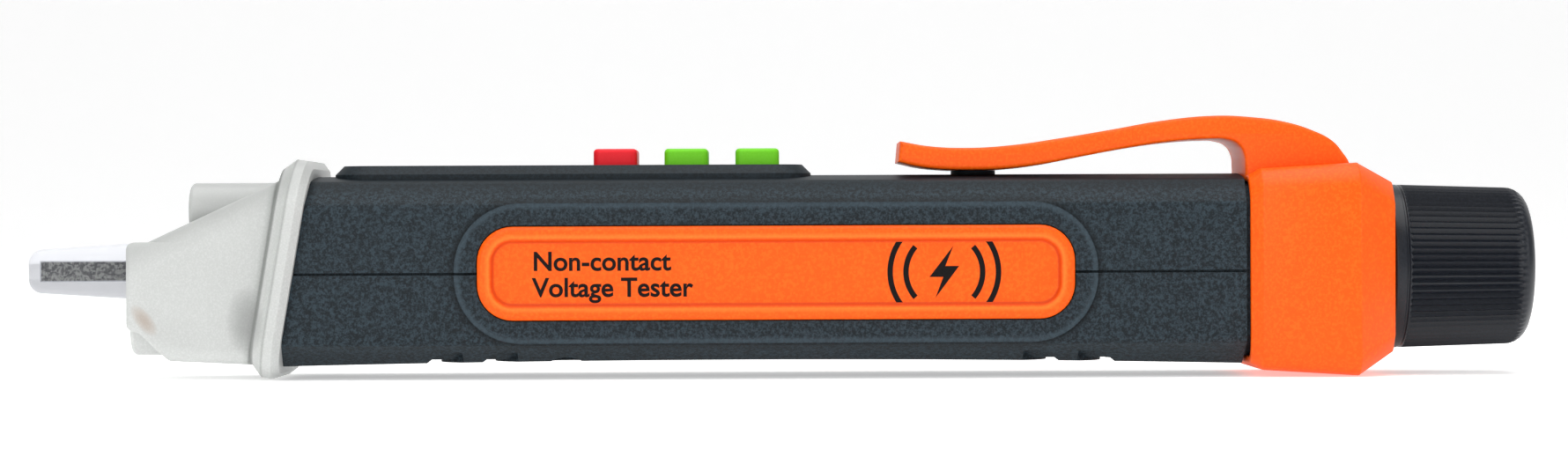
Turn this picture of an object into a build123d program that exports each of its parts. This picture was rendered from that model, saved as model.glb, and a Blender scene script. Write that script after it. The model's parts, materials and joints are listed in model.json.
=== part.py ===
from build123d import *
import os
from math import cos, radians, sin

# Non contact voltage tester, in millimetres. X runs along the tool, from the probe tip (-X) to the
# battery cap (+X); Y is its width; +Z is the side with the display, the buttons and the clip.
# The origin is on the surface the tool lies on, under the middle of its length.

# ---------------------------------------------------------------- lengths along X, tip to cap
TIP_LENGTH = 10.7
NOSE_LENGTH = 17.9
BODY_LENGTH = 96.4
COLLAR_GAP = 0.4
COLLAR_FLAT = 11.0
COLLAR_TAPER = 3.8
CAP_LENGTH = 14.7

# ---------------------------------------------------------------- cells and what holds them
CELL_DIAMETER = 10.5
CELL_LENGTH = 44.5
CELL_NUB_DIAMETER = 3.8
CELL_NUB_LENGTH = 1.0
CELL_CLEARANCE = 0.3
CELL_EDGE = 0.4
TUBE_WALL = 0.8
TUBE_END_WALL = 1.2
TUBE_CUT_DEPTH = 1.0
THREAD_DEPTH = 0.5
THREAD_PITCH = 2.0
THREAD_TURNS = 3.0
THREAD_CLEARANCE = 0.2
THREAD_SETBACK = 4.0
THREAD_ROOT = 0.1
THREAD_LAND = 0.9
CAP_WALL = 1.4
CAP_END_WALL = 1.8
CAP_DRAFT = 0.35
CAP_ROUND = 2.2
CAP_GAP = 0.1
CONTACT_THICKNESS = 0.4
CONTACT_MARGIN = 1.4
CONTACT_STEM_RADIUS = 1.0
CONTACT_HOLE_CLEARANCE = 0.2
CONTACT_TAB = 0.6
SPRING_LENGTH = 3.7
SPRING_WIRE = 0.6
SPRING_MARGIN = 2.0
SPRING_TURNS = 3.5
STRIP_WIDTH = 1.4
STRIP_THICKNESS = 0.2
SEAL_RADIUS = 0.33

# ---------------------------------------------------------------- body shells
WALL = 1.6
BODY_HALF_WIDTH = 10.0
TOP_SHOULDER_WIDTH = 2.0
TOP_SHOULDER = 2.46
TOP_CROWN = 0.61
BELLY_ROOM = 1.85
BELLY_SHOULDER_WIDTH = 4.7
BELLY_SHOULDER = 2.4
BELLY_ARCH = 0.55
ARCH_SHIFT = 11.4
EDGE_ROUND = 0.9
SEAM_Z = -0.45
SEAM_REVEAL = 0.26
SEAM_REVEAL_DEPTH = 0.5
LIP_HEIGHT = 0.8
LIP_THICKNESS = 0.55
LIP_CLEARANCE = 0.1
LIP_END_GAP = 1.0
SPIGOT_INSET = 0.8
SPIGOT_LENGTH = 9.5
RIB_THICKNESS = 1.2
MIDDLE_RIB_SETBACK = 4.0
BACK_RIB_SETBACK = 7.0

# ---------------------------------------------------------------- circuit board
BOARD_GAP = 0.55
BOARD_THICKNESS = 0.8
BOARD_SIDE_GAP = 1.4
BOARD_END_GAP = 0.7
BOARD_TAIL = 4.0
BOARD_CORNER = 1.0
HEADROOM = 1.47
PART_GAP = 0.05
CHIP_LENGTH = 4.0
CHIP_WIDTH = 6.0
CHIP_HEIGHT = 1.2
CHIP_SETBACK = 3.8
CHIP_BEVEL = 0.2
COMPONENT_LENGTH = 1.6
COMPONENT_WIDTH = 0.9
COMPONENT_HEIGHT = 0.6
COMPONENT_SPREAD = 5.2
COMPONENT_SETBACKS = (1.8, 4.2)
BUZZER_RADIUS = 6.0
BUZZER_HEIGHT = 3.0
BUZZER_POST_GAP = 1.55
BUZZER_EDGE = 0.4
BUZZER_HOLE_RADIUS = 1.0
BUZZER_HOLE_DEPTH = 2.0

# ---------------------------------------------------------------- nose and flange
FLANGE_SLANT = 9.6
FLANGE_THICKNESS = 3.0
FLANGE_STANDOUT = 1.6
FLANGE_DROP = 1.3
FLANGE_BEVEL = 0.7
FLANGE_FRONT_BEVEL = 1.2
FLANGE_ROUND = 5.0
NOSE_WALL = 1.2
NOSE_FRONT_TOP = 3.0
NOSE_FRONT_BOTTOM = -6.0
NOSE_FRONT_HALF_WIDTH = 4.8
NOSE_SIDE_STEP = 0.7
NOSE_TOP_STEP = 0.37
NOSE_ROUND = 1.5
NOSE_FRONT_ROUND = 1.0
NOSE_BROW = 2.2
NOSE_LIP_LENGTH = 1.5
NOSE_LIP_DROP = 0.3
NOSE_CHIN_LENGTH = 4.6
NOSE_CHIN_RISE = 0.6
NOSE_EDGE_LEAN = 0.8
NOSE_SPIGOT_LENGTH = 3.2
TUBE_RADIUS = 2.9
TUBE_ROUND = 0.5
LED_RADIUS = 1.5
LED_RIM = 0.4
LED_LENGTH = 5.3
LED_DOME = 1.35
LED_CLEARANCE = 0.15
SIGNAL_TUBE_SETBACK = 6.2
TORCH_TUBE_SETBACK = 0.1
TORCH_Z = -5.8
PIN_RADIUS = 0.25
PIN_SPACING = 2.54
PIN_BEND = 2.0

# ---------------------------------------------------------------- probe tip
TIP_END_HEIGHT = 4.4
TIP_BASE_HEIGHT = 5.8
TIP_END_WIDTH = 3.2
TIP_BASE_WIDTH = 4.2
TIP_ROUND = 1.4
TIP_CORNER_SHARE = 0.45
SENSOR_HEIGHT = 1.9
SENSOR_THICKNESS = 0.3
SENSOR_SETBACK = 1.3
SENSOR_CLEARANCE = 0.1
LEAD_RADIUS = 0.35
LEAD_BEND = 1.0
LEAD_SAG = 2.05

# ---------------------------------------------------------------- pod, display and buttons
POD_SETBACK = 3.5
POD_TAIL = 3.25
POD_HALF_WIDTH = 6.6
POD_CORNER = 3.96
POD_RISE = 1.05
POD_BEVEL = 0.9
WINDOW_SETBACK = 2.6
WINDOW_LENGTH = 18.8
WINDOW_WIDTH = 9.2
WINDOW_THICKNESS = 0.9
WINDOW_LEDGE = 0.7
WINDOW_LEDGE_THICKNESS = 0.28
WINDOW_BEVEL = 0.15
WINDOW_CLEARANCE = 0.1
GLASS_THICKNESS = 1.5
FRAME_WALL = 0.7
CONNECTOR_SETBACK = 1.0
CONNECTOR_WIDTH = 1.4
BUTTON_LENGTH = 4.5
BUTTON_WIDTH = 6.6
BUTTON_PITCH = 7.3
BUTTON_STANDOUT = 1.7
BUTTON_CLEARANCE = 0.15
BUTTON_FLANGE = 0.5
BUTTON_FLANGE_REACH = 0.5
BUTTON_TRAVEL = 0.4
BUTTON_POST_GAP = 0.4
BUTTON_CORNER = 0.7
BUTTON_EDGE = 0.4
BAY_DEPTH = 0.9
SWITCH_SIZE = 3.4
SWITCH_HEIGHT = 1.0
PLUNGER_RADIUS = 0.7

# ---------------------------------------------------------------- side panels and under grooves
PANEL_LENGTH = 60.4
PANEL_HEIGHT = 9.5
PANEL_THICKNESS = 0.95
PANEL_CORNER = 3.6
PANEL_RIM = 1.7
PANEL_STEP = 0.25
PANEL_CLEARANCE = 0.1
PANEL_SHIFT = 0.6
PANEL_Z = -0.3
PANEL_STANDOUT = 0.1
PLATEAU_MARGIN = 2.35
PLATEAU_RISE = 0.35
GROOVE_SETBACK = 11.4
GROOVE_PITCH = 5.6
GROOVE_WIDTH = 2.7
GROOVE_DEPTH = 0.4
GROOVE_RADIUS = 11.0
GROOVE_RISE = 1.45

# ---------------------------------------------------------------- collar and clip
COLLAR_STANDOUT = 0.75
COLLAR_FLARE = 0.6
COLLAR_CLEARANCE = 0.1
COLLAR_ROUND = 3.0
COLLAR_BACK_STANDOUT = 0.08
COLLAR_BACK_FLAT = 0.17
HUMP_STEPS = ((4.0, 0.5), (7.4, 2.07), (9.6, 4.14))
HUMP_END_GAP = 0.4
CLIP_WIDTH = 12.6
CLIP_REACH = 35.4
CLIP_THICKNESS = 2.3
CLIP_RISE = 4.5
CLIP_TIP_LIFT = 0.8
CLIP_TIP_THICKNESS = 2.1
CLIP_WAIST = 13.7
CLIP_WAIST_DROP = 1.1
CLIP_REST = 7.9
CLIP_THINNING = 0.1
CLIP_TIP_SLOPE = 0.25
HINGE_CLEARANCE = 0.08
BUMP_RADIUS = 2.3
BUMP_RISE = 0.4
BUMP_GAP = 0.06

# ---------------------------------------------------------------- fasteners
SCREW_RADIUS = 0.95
SCREW_HEAD_RADIUS = 1.7
SCREW_HEAD_HEIGHT = 1.2
SCREW_SINK = 2.4
SCREW_Y = 5.2
SCREW_SETBACK = 2.5
POST_RADIUS = 1.75
SCREW_FIT = 0.02
SCREW_COVER = 0.4
SCREW_SLOT_LENGTH = 2.0
SCREW_SLOT_WIDTH = 0.4
SCREW_SLOT_DEPTH = 0.4
BOSS_WALL = 0.8
HOLE_CLEARANCE = 0.2

# ---------------------------------------------------------------- places worked out from the sizes
OVERALL_LENGTH = (
    TIP_LENGTH + NOSE_LENGTH + BODY_LENGTH + COLLAR_GAP + COLLAR_FLAT + COLLAR_TAPER + CAP_LENGTH
)
TIP_X = -OVERALL_LENGTH / 2
NOSE_X = TIP_X + TIP_LENGTH
FLANGE_X = NOSE_X + NOSE_LENGTH
BODY_BACK_X = FLANGE_X + BODY_LENGTH
COLLAR_X = BODY_BACK_X + COLLAR_GAP
COLLAR_EDGE_X = COLLAR_X + COLLAR_FLAT
COLLAR_BACK_X = COLLAR_EDGE_X + COLLAR_TAPER
TAIL_X = COLLAR_BACK_X + CAP_LENGTH
SPIGOT_BACK_X = BODY_BACK_X + SPIGOT_LENGTH

SLANT = radians(FLANGE_SLANT)

CELL_RADIUS = CELL_DIAMETER / 2
TUBE_BORE = CELL_RADIUS + CELL_CLEARANCE
TUBE_OUTER = TUBE_BORE + TUBE_WALL
THREAD_CREST = TUBE_OUTER + THREAD_DEPTH
CAP_BORE = THREAD_CREST + THREAD_CLEARANCE
CAP_RADIUS = CAP_BORE + CAP_WALL
CAP_FLOOR_X = TAIL_X - CAP_END_WALL
DISC_X = CAP_FLOOR_X - CONTACT_THICKNESS
TUBE_BACK_X = DISC_X - STRIP_THICKNESS - PART_GAP
REAR_CELL_X = DISC_X - SPRING_LENGTH
CELL_JOIN_X = REAR_CELL_X - CELL_LENGTH
FRONT_CELL_X = CELL_JOIN_X - CELL_LENGTH
TUBE_FRONT_X = FRONT_CELL_X - CONTACT_THICKNESS - TUBE_END_WALL

BOARD_BOTTOM = CELL_RADIUS + BOARD_GAP
BOARD_TOP = BOARD_BOTTOM + BOARD_THICKNESS
CROWN_TOP = BOARD_TOP + HEADROOM + WALL
SHOULDER_TOP = CROWN_TOP - TOP_CROWN
BELLY_Z = -(TUBE_OUTER + BELLY_ROOM + WALL)
TOP_HALF_WIDTH = BODY_HALF_WIDTH - TOP_SHOULDER_WIDTH
BELLY_HALF_WIDTH = BODY_HALF_WIDTH - BELLY_SHOULDER_WIDTH
BOARD_HALF_WIDTH = BODY_HALF_WIDTH - WALL - BOARD_SIDE_GAP
FLANGE_HALF_WIDTH = BODY_HALF_WIDTH + FLANGE_STANDOUT
FLANGE_HALF_HEIGHT = (FLANGE_DROP - BELLY_Z) / cos(SLANT)
AXIS_Z = FLANGE_HALF_HEIGHT * cos(SLANT) - FLANGE_BEVEL * sin(SLANT)
NOSE_BACK_HALF_WIDTH = BODY_HALF_WIDTH - NOSE_SIDE_STEP
NOSE_BACK_TOP = CROWN_TOP - NOSE_TOP_STEP
NOSE_BACK_BOTTOM = BELLY_Z
INNER_TOP = CROWN_TOP - WALL
POD_TOP = CROWN_TOP + POD_RISE

POD_X = FLANGE_X + POD_SETBACK
WINDOW_X = POD_X + WINDOW_SETBACK
WINDOW_BACK_X = WINDOW_X + WINDOW_LENGTH
WINDOW_MID_X = (WINDOW_X + WINDOW_BACK_X) / 2
WINDOW_FLOOR = POD_TOP - TOP_CROWN / 2 - WINDOW_THICKNESS
LEDGE_FLOOR = WINDOW_FLOOR - WINDOW_LEDGE_THICKNESS
SCREW_X = WINDOW_BACK_X + SCREW_SETBACK
FIRST_BUTTON_X = (
    SCREW_X + POST_RADIUS + BUTTON_POST_GAP + BUTTON_FLANGE_REACH + BUTTON_LENGTH / 2
)
BUTTON_XS = [FIRST_BUTTON_X + i * BUTTON_PITCH for i in range(3)]
POD_BACK_X = BUTTON_XS[-1] + BUTTON_LENGTH / 2 + POD_TAIL
POD_LENGTH = POD_BACK_X - POD_X
BUTTON_TOP = POD_TOP + BUTTON_STANDOUT
BAY_TOP = INNER_TOP + BAY_DEPTH
BAY_REACH = BUTTON_LENGTH / 2 + BUTTON_FLANGE_REACH + BUTTON_TRAVEL / 2
BOARD_X = FLANGE_X + NOSE_SPIGOT_LENGTH + BOARD_END_GAP
STRIP_LEG_X = FRONT_CELL_X + CELL_NUB_LENGTH
STRIP_LEG_BACK_X = STRIP_LEG_X + STRIP_WIDTH
BOARD_BACK_X = max(BUTTON_XS[-1] + BUTTON_LENGTH, STRIP_LEG_BACK_X) + BOARD_TAIL
SWITCH_TOP = BOARD_TOP + SWITCH_HEIGHT
PLUNGER_TOP = SWITCH_TOP + BUTTON_TRAVEL
FLANGE_BASE = BAY_TOP - PART_GAP - BUTTON_FLANGE
SIGNAL_Z = BOARD_BOTTOM + BOARD_THICKNESS / 2
SIGNAL_TUBE_X = NOSE_X + SIGNAL_TUBE_SETBACK
TORCH_TUBE_X = NOSE_X + TORCH_TUBE_SETBACK
LED_BORE = LED_RADIUS + LED_RIM + LED_CLEARANCE
SENSOR_SLOT_Y = SENSOR_THICKNESS / 2 + SENSOR_CLEARANCE
SENSOR_SLOT_Z = SENSOR_HEIGHT / 2 + SENSOR_CLEARANCE
SENSOR_END_X = NOSE_X + 2 * NOSE_WALL
THREAD_X = COLLAR_BACK_X + CAP_GAP + THREAD_SETBACK
CHIP_X = BOARD_X + CHIP_SETBACK
BUZZER_X = SCREW_X - POST_RADIUS - BUZZER_POST_GAP - BUZZER_RADIUS
SPIGOT_END_X = FLANGE_X + NOSE_SPIGOT_LENGTH

BODY_MID_X = (FLANGE_X + BODY_BACK_X) / 2
PANEL_X = BODY_MID_X + PANEL_SHIFT
PLATEAU_Y = BODY_HALF_WIDTH + PLATEAU_RISE
PANEL_FACE_Y = PLATEAU_Y + PANEL_STANDOUT
PANEL_FLOOR_Y = PANEL_FACE_Y - PANEL_THICKNESS

COLLAR_HALF_WIDTH = BODY_HALF_WIDTH + COLLAR_STANDOUT
COLLAR_EDGE_HALF_WIDTH = COLLAR_HALF_WIDTH + COLLAR_FLARE
COLLAR_TOP = CROWN_TOP + COLLAR_STANDOUT / 2
COLLAR_EDGE_TOP = COLLAR_TOP + COLLAR_FLARE
COLLAR_BOTTOM = -(AXIS_Z - COLLAR_FLARE)
COLLAR_EDGE_BOTTOM = -AXIS_Z
CLIP_RADIUS = CLIP_THICKNESS / 2
HINGE_X = COLLAR_X - HINGE_CLEARANCE
HINGE_Z = CROWN_TOP + CLIP_RISE
BUMP_X = HINGE_X - CLIP_REACH + CLIP_REST
BUMP_TOP = CROWN_TOP + BUMP_RISE
SCREW_HEAD_Z = BELLY_Z + SCREW_SINK
SCREW_TIP_Z = CROWN_TOP - SCREW_COVER
MIDDLE_RIB_X = CELL_JOIN_X - MIDDLE_RIB_SETBACK
BACK_RIB_X = BODY_BACK_X - BACK_RIB_SETBACK


def cross(x):
    """A plane across the tool at x: sketch x is the width, sketch y is height over the axis."""
    return Plane(origin=(x, 0, AXIS_Z), x_dir=(0, 1, 0), z_dir=(1, 0, 0))


def level(z):
    """A level plane at a height over the axis."""
    return Plane(origin=(0, 0, AXIS_Z + z), x_dir=(1, 0, 0), z_dir=(0, 0, 1))


def upright(y):
    """A plane along the tool at a width y: sketch x is X, sketch y is height over the axis."""
    return Plane(origin=(0, y, AXIS_Z), x_dir=(1, 0, 0), z_dir=(0, -1, 0))


FLANGE_BACK = Plane(
    origin=(FLANGE_X, 0, AXIS_Z), x_dir=(0, 1, 0), z_dir=(cos(SLANT), 0, -sin(SLANT))
)


def block(x0, x1, y0, y1, z0, z1, mode=Mode.ADD):
    """A plain box between two X, two Y and two heights over the axis, in the part being built."""
    with Locations(((x0 + x1) / 2, (y0 + y1) / 2, AXIS_Z + (z0 + z1) / 2)):
        Box(x1 - x0, y1 - y0, z1 - z0, mode=mode)


def rod(x0, x1, y, z, radius, mode=Mode.ADD):
    """A round bar along X from x0 to x1, in the part being built."""
    with BuildSketch(cross(x0)) as end:
        with Locations((y, z)):
            Circle(radius)
    extrude(end.sketch, amount=x1 - x0, mode=mode)


def post(x, y, z0, z1, radius, mode=Mode.ADD):
    """A round bar straight up from z0 to z1, in the part being built."""
    with BuildSketch(level(z0)) as end:
        with Locations((x, y)):
            Circle(radius)
    extrude(end.sketch, amount=z1 - z0, mode=mode)


def side_plane(way, y):
    """A plane at a width y that faces outwards; way is 1 on +Y and -1 on -Y."""
    return Plane(origin=(0, way * y, AXIS_Z), x_dir=(1, 0, 0), z_dir=(0, way, 0))


def body_outline(inset):
    """The shells' cross-section, crowned on top and bevelled at its corners, drawn in by inset."""
    with BuildSketch() as section:
        with BuildLine():
            Line((-BELLY_HALF_WIDTH, BELLY_Z), (BELLY_HALF_WIDTH, BELLY_Z))
            Polyline(
                (BELLY_HALF_WIDTH, BELLY_Z),
                (BODY_HALF_WIDTH, BELLY_Z + BELLY_SHOULDER),
                (BODY_HALF_WIDTH, SHOULDER_TOP - TOP_SHOULDER),
                (TOP_HALF_WIDTH, SHOULDER_TOP),
            )
            ThreePointArc((TOP_HALF_WIDTH, SHOULDER_TOP), (0, CROWN_TOP), (-TOP_HALF_WIDTH, SHOULDER_TOP))
            Polyline(
                (-TOP_HALF_WIDTH, SHOULDER_TOP),
                (-BODY_HALF_WIDTH, SHOULDER_TOP - TOP_SHOULDER),
                (-BODY_HALF_WIDTH, BELLY_Z + BELLY_SHOULDER),
                (-BELLY_HALF_WIDTH, BELLY_Z),
            )
        make_face()
        if inset:
            offset(amount=-inset, kind=Kind.INTERSECTION, mode=Mode.REPLACE)
        else:
            fillet(section.vertices(), radius=EDGE_ROUND)
    return section.sketch


def body_prism(x0, x1, inset=0):
    """The body section, drawn in by inset, from x0 to x1."""
    with BuildPart() as prism:
        with BuildSketch(cross(x0)):
            add(body_outline(inset))
        extrude(amount=x1 - x0)
    return prism.part


def body_ring(x0, x1, outer_inset, inner_inset):
    """A sleeve of the body section between two insets."""
    with BuildPart() as ring:
        add(body_prism(x0, x1, outer_inset))
        add(body_prism(x0, x1, inner_inset), mode=Mode.SUBTRACT)
    return ring.part


def lip(outer_inset, height):
    """The strip inside both side walls where the shells interlock above the seam."""
    with BuildPart() as strip:
        front = SPIGOT_END_X + LIP_END_GAP
        add(body_ring(front, BODY_BACK_X - LIP_END_GAP, outer_inset, WALL + LIP_CLEARANCE))
        with BuildSketch(level(SEAM_Z)):
            with Locations((BODY_MID_X, 0)):
                Rectangle(BODY_LENGTH, 4 * BODY_HALF_WIDTH)
        extrude(amount=height, mode=Mode.INTERSECT)
    return strip.part


def slot_plate(plane, centre_x, centre_z, length, height, corner, depth):
    """A plate with rounded corners on a side plane, depth towards the plane's own normal."""
    with BuildPart() as plate:
        with BuildSketch(plane):
            with Locations((centre_x, centre_z)):
                RectangleRounded(length, height, corner)
        extrude(amount=depth)
    return plate.part


def housing():
    """Both shells as one hollow body, before it is divided at the seam."""
    plateau_height = PANEL_HEIGHT + 2 * PLATEAU_MARGIN
    plateau_length = PANEL_LENGTH + 2 * PLATEAU_MARGIN
    with BuildPart() as body:
        add(body_prism(FLANGE_X - WALL * 2, BODY_BACK_X))
        with BuildSketch(upright(2 * BODY_HALF_WIDTH)):
            with BuildLine():
                ThreePointArc(
                    (FLANGE_X - 2 * WALL, BELLY_Z),
                    (BODY_MID_X + ARCH_SHIFT, BELLY_Z + BELLY_ARCH),
                    (BODY_BACK_X, BELLY_Z),
                )
                Line((BODY_BACK_X, BELLY_Z), (FLANGE_X - 2 * WALL, BELLY_Z))
            make_face()
        extrude(amount=4 * BODY_HALF_WIDTH, mode=Mode.SUBTRACT)
        for way in (1, -1):
            add(
                slot_plate(
                    side_plane(way, BODY_HALF_WIDTH - WALL / 2),
                    PANEL_X,
                    -way * PANEL_Z,
                    plateau_length,
                    plateau_height,
                    plateau_height / 2 - PLATEAU_RISE,
                    WALL / 2 + PLATEAU_RISE,
                )
            )
        add(body_prism(BODY_BACK_X, SPIGOT_BACK_X, SPIGOT_INSET))
        add(body_prism(FLANGE_X - 3 * WALL, SPIGOT_BACK_X + WALL, WALL), mode=Mode.SUBTRACT)
        split(bisect_by=FLANGE_BACK, keep=Keep.TOP)
        for way in (1, -1):
            add(
                slot_plate(
                    side_plane(way, PANEL_FLOOR_Y),
                    PANEL_X,
                    -way * PANEL_Z,
                    PANEL_LENGTH + 2 * PANEL_CLEARANCE,
                    PANEL_HEIGHT + 2 * PANEL_CLEARANCE,
                    PANEL_CORNER + PANEL_CLEARANCE,
                    2 * PANEL_THICKNESS,
                ),
                mode=Mode.SUBTRACT,
            )
        for x in (MIDDLE_RIB_X, BACK_RIB_X):
            add(body_prism(x, x + RIB_THICKNESS, WALL - LIP_CLEARANCE))
        with BuildSketch(cross(MIDDLE_RIB_X - RIB_THICKNESS)):
            Circle(TUBE_OUTER + COLLAR_CLEARANCE)
        extrude(amount=SPIGOT_BACK_X, mode=Mode.SUBTRACT)
    return body.part


def grooves():
    """Curved finger grooves under both ends of the body, as the solids that are cut away."""
    with BuildPart() as cuts:
        for x, way in ((FLANGE_X + GROOVE_SETBACK, 1), (BODY_BACK_X - GROOVE_SETBACK, -1)):
            for step in (0, way * GROOVE_PITCH):
                with BuildSketch(level(BELLY_Z - GROOVE_DEPTH)):
                    with Locations((x + step + way * GROOVE_RADIUS, 0)):
                        Circle(GROOVE_RADIUS)
                        Circle(GROOVE_RADIUS - GROOVE_WIDTH, mode=Mode.SUBTRACT)
                    with Locations((x + step + way * 3 * GROOVE_RADIUS / 2, 0)):
                        Rectangle(2 * GROOVE_RADIUS, 3 * GROOVE_RADIUS, mode=Mode.SUBTRACT)
                extrude(amount=GROOVE_RISE + GROOVE_DEPTH)
        add(body_prism(FLANGE_X, BODY_BACK_X, GROOVE_DEPTH + BELLY_ARCH / 2), mode=Mode.SUBTRACT)
    return cuts.part


def pod_block():
    """The raised deck on the upper shell that carries the display and the buttons."""
    with BuildPart() as deck:
        with BuildSketch(level(CROWN_TOP - TOP_CROWN)):
            with Locations(((POD_X + POD_BACK_X) / 2, 0)):
                RectangleRounded(POD_LENGTH, 2 * POD_HALF_WIDTH, POD_CORNER)
        extrude(amount=POD_RISE + TOP_CROWN)
        chamfer(deck.faces().sort_by(Axis.Z)[-1].edges(), length=POD_BEVEL)
    return deck.part


HOUSING = housing()
POD = pod_block()
GROOVES = grooves()

with BuildPart() as upper_shell:
    add(HOUSING)
    split(bisect_by=level(SEAM_Z), keep=Keep.TOP)
    add(POD)
    for side in (1, -1):
        edge = side * BODY_HALF_WIDTH
        block(
            FLANGE_X - WALL,
            BODY_BACK_X,
            edge - SEAM_REVEAL_DEPTH,
            edge + SEAM_REVEAL_DEPTH,
            SEAM_Z,
            SEAM_Z + SEAM_REVEAL,
            mode=Mode.SUBTRACT,
        )
    add(lip(WALL - LIP_THICKNESS - LIP_CLEARANCE, LIP_HEIGHT + LIP_CLEARANCE), mode=Mode.SUBTRACT)
    for y in (SCREW_Y, -SCREW_Y):
        post(SCREW_X, y, BOARD_TOP, CROWN_TOP - WALL / 2, POST_RADIUS)
        post(SCREW_X, y, BOARD_TOP, SCREW_TIP_Z + SCREW_FIT, SCREW_RADIUS + SCREW_FIT, Mode.SUBTRACT)
    bay = WINDOW_WIDTH / 2 + WINDOW_LEDGE
    block(WINDOW_X, WINDOW_BACK_X, -bay, bay, 0, LEDGE_FLOOR, Mode.SUBTRACT)
    with BuildSketch(level(WINDOW_FLOOR)):
        with Locations((WINDOW_MID_X, 0)):
            Rectangle(WINDOW_LENGTH, WINDOW_WIDTH)
    extrude(amount=2 * POD_RISE, mode=Mode.SUBTRACT)
    with BuildSketch(level(0)):
        with Locations((WINDOW_MID_X, 0)):
            Rectangle(WINDOW_LENGTH - 2 * WINDOW_LEDGE, WINDOW_WIDTH - 2 * WINDOW_LEDGE)
    extrude(amount=POD_TOP, mode=Mode.SUBTRACT)
    reach_y = BUTTON_WIDTH / 2 + BUTTON_FLANGE_REACH + BUTTON_CLEARANCE
    block(
        BUTTON_XS[0] - BAY_REACH,
        BUTTON_XS[-1] + BAY_REACH,
        -reach_y,
        reach_y,
        BOARD_TOP,
        BAY_TOP,
        Mode.SUBTRACT,
    )
    for x in BUTTON_XS:
        with BuildSketch(level(BOARD_TOP)):
            with Locations((x, 0)):
                RectangleRounded(
                    BUTTON_LENGTH + 2 * BUTTON_CLEARANCE,
                    BUTTON_WIDTH + 2 * BUTTON_CLEARANCE,
                    BUTTON_CORNER + BUTTON_CLEARANCE,
                )
        extrude(amount=POD_TOP, mode=Mode.SUBTRACT)
    with BuildSketch(level(CROWN_TOP - TOP_CROWN)):
        with Locations((BUMP_X, 0)):
            Circle(BUMP_RADIUS)
    extrude(amount=TOP_CROWN + BUMP_RISE)
upper_shell.part.label = "upper_shell"

with BuildPart() as lower_shell:
    add(HOUSING)
    split(bisect_by=level(SEAM_Z), keep=Keep.BOTTOM)
    add(GROOVES, mode=Mode.SUBTRACT)
    add(lip(WALL - LIP_THICKNESS, LIP_HEIGHT))
    boss_z = BELLY_Z + WALL / 2 + BELLY_ARCH
    recess = SCREW_HEAD_RADIUS + HOLE_CLEARANCE
    for y in (SCREW_Y, -SCREW_Y):
        post(SCREW_X, y, boss_z, SCREW_HEAD_Z + BOSS_WALL, recess + BOSS_WALL)
        post(SCREW_X, y, boss_z, BOARD_BOTTOM, POST_RADIUS)
        post(SCREW_X, y, SCREW_HEAD_Z, BOARD_BOTTOM, SCREW_RADIUS + HOLE_CLEARANCE, Mode.SUBTRACT)
        post(SCREW_X, y, BELLY_Z - WALL, SCREW_HEAD_Z, recess, Mode.SUBTRACT)
lower_shell.part.label = "lower_shell"


def nose_form(inset, x_front):
    """The tapering nose from x_front back to the flange, drawn in by inset on every side."""
    back_x = FLANGE_X + FLANGE_THICKNESS
    half_front = NOSE_FRONT_HALF_WIDTH - inset
    half_back = NOSE_BACK_HALF_WIDTH - inset
    with BuildPart() as form:
        with BuildSketch(upright(2 * BODY_HALF_WIDTH)):
            with BuildLine():
                Polyline(
                    (x_front, NOSE_FRONT_TOP - inset),
                    (x_front + NOSE_BROW, NOSE_FRONT_TOP - inset),
                    (FLANGE_X - FLANGE_THICKNESS / 2, NOSE_BACK_TOP - inset),
                    (back_x, NOSE_BACK_TOP - inset),
                    (back_x, NOSE_BACK_BOTTOM + inset),
                    (x_front + NOSE_CHIN_LENGTH, NOSE_BACK_BOTTOM + NOSE_CHIN_RISE + inset),
                    (x_front + NOSE_LIP_LENGTH, NOSE_FRONT_BOTTOM - NOSE_LIP_DROP + inset),
                    (x_front, NOSE_FRONT_BOTTOM + inset),
                    close=True,
                )
            make_face()
        extrude(amount=4 * BODY_HALF_WIDTH)
        with BuildSketch(level(-2 * BODY_HALF_WIDTH)):
            with BuildLine():
                Polyline(
                    (x_front, -half_front),
                    (FLANGE_X, -half_back),
                    (back_x, -half_back),
                    (back_x, half_back),
                    (FLANGE_X, half_back),
                    (x_front, half_front),
                    close=True,
                )
            make_face()
        extrude(amount=4 * BODY_HALF_WIDTH, mode=Mode.INTERSECT)
    return form.part


def is_long_nose_edge(edge):
    """True for the edges that run back along the nose, where its top, belly and sides meet."""
    return edge.length > NOSE_LENGTH / 2 and abs(edge.tangent_at(0).X) > NOSE_EDGE_LEAN


def flange_plate():
    """The slanted flange the shells butt against, bevelled on both faces."""
    through = Axis(FLANGE_BACK.origin, FLANGE_BACK.z_dir)
    with BuildPart() as plate:
        with BuildSketch(FLANGE_BACK.offset(-FLANGE_THICKNESS)):
            RectangleRounded(2 * FLANGE_HALF_WIDTH, 2 * FLANGE_HALF_HEIGHT, FLANGE_ROUND)
        extrude(amount=FLANGE_THICKNESS)
        chamfer(plate.faces().sort_by(through)[0].edges(), length=FLANGE_FRONT_BEVEL)
        chamfer(plate.faces().sort_by(through)[-1].edges(), length=FLANGE_BEVEL)
    return plate.part


def nose_tube(x, z):
    """A tube for one lamp from x back into the flange, rounded at its closed front."""
    with BuildPart() as tube:
        rod(x, FLANGE_X - FLANGE_THICKNESS, 0, z, TUBE_RADIUS)
        fillet(tube.faces().sort_by(Axis.X)[0].edges(), radius=TUBE_ROUND)
    return tube.part


FLANGE = flange_plate()
NOSE_HOLLOW = nose_form(NOSE_WALL, NOSE_X + NOSE_WALL)

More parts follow.
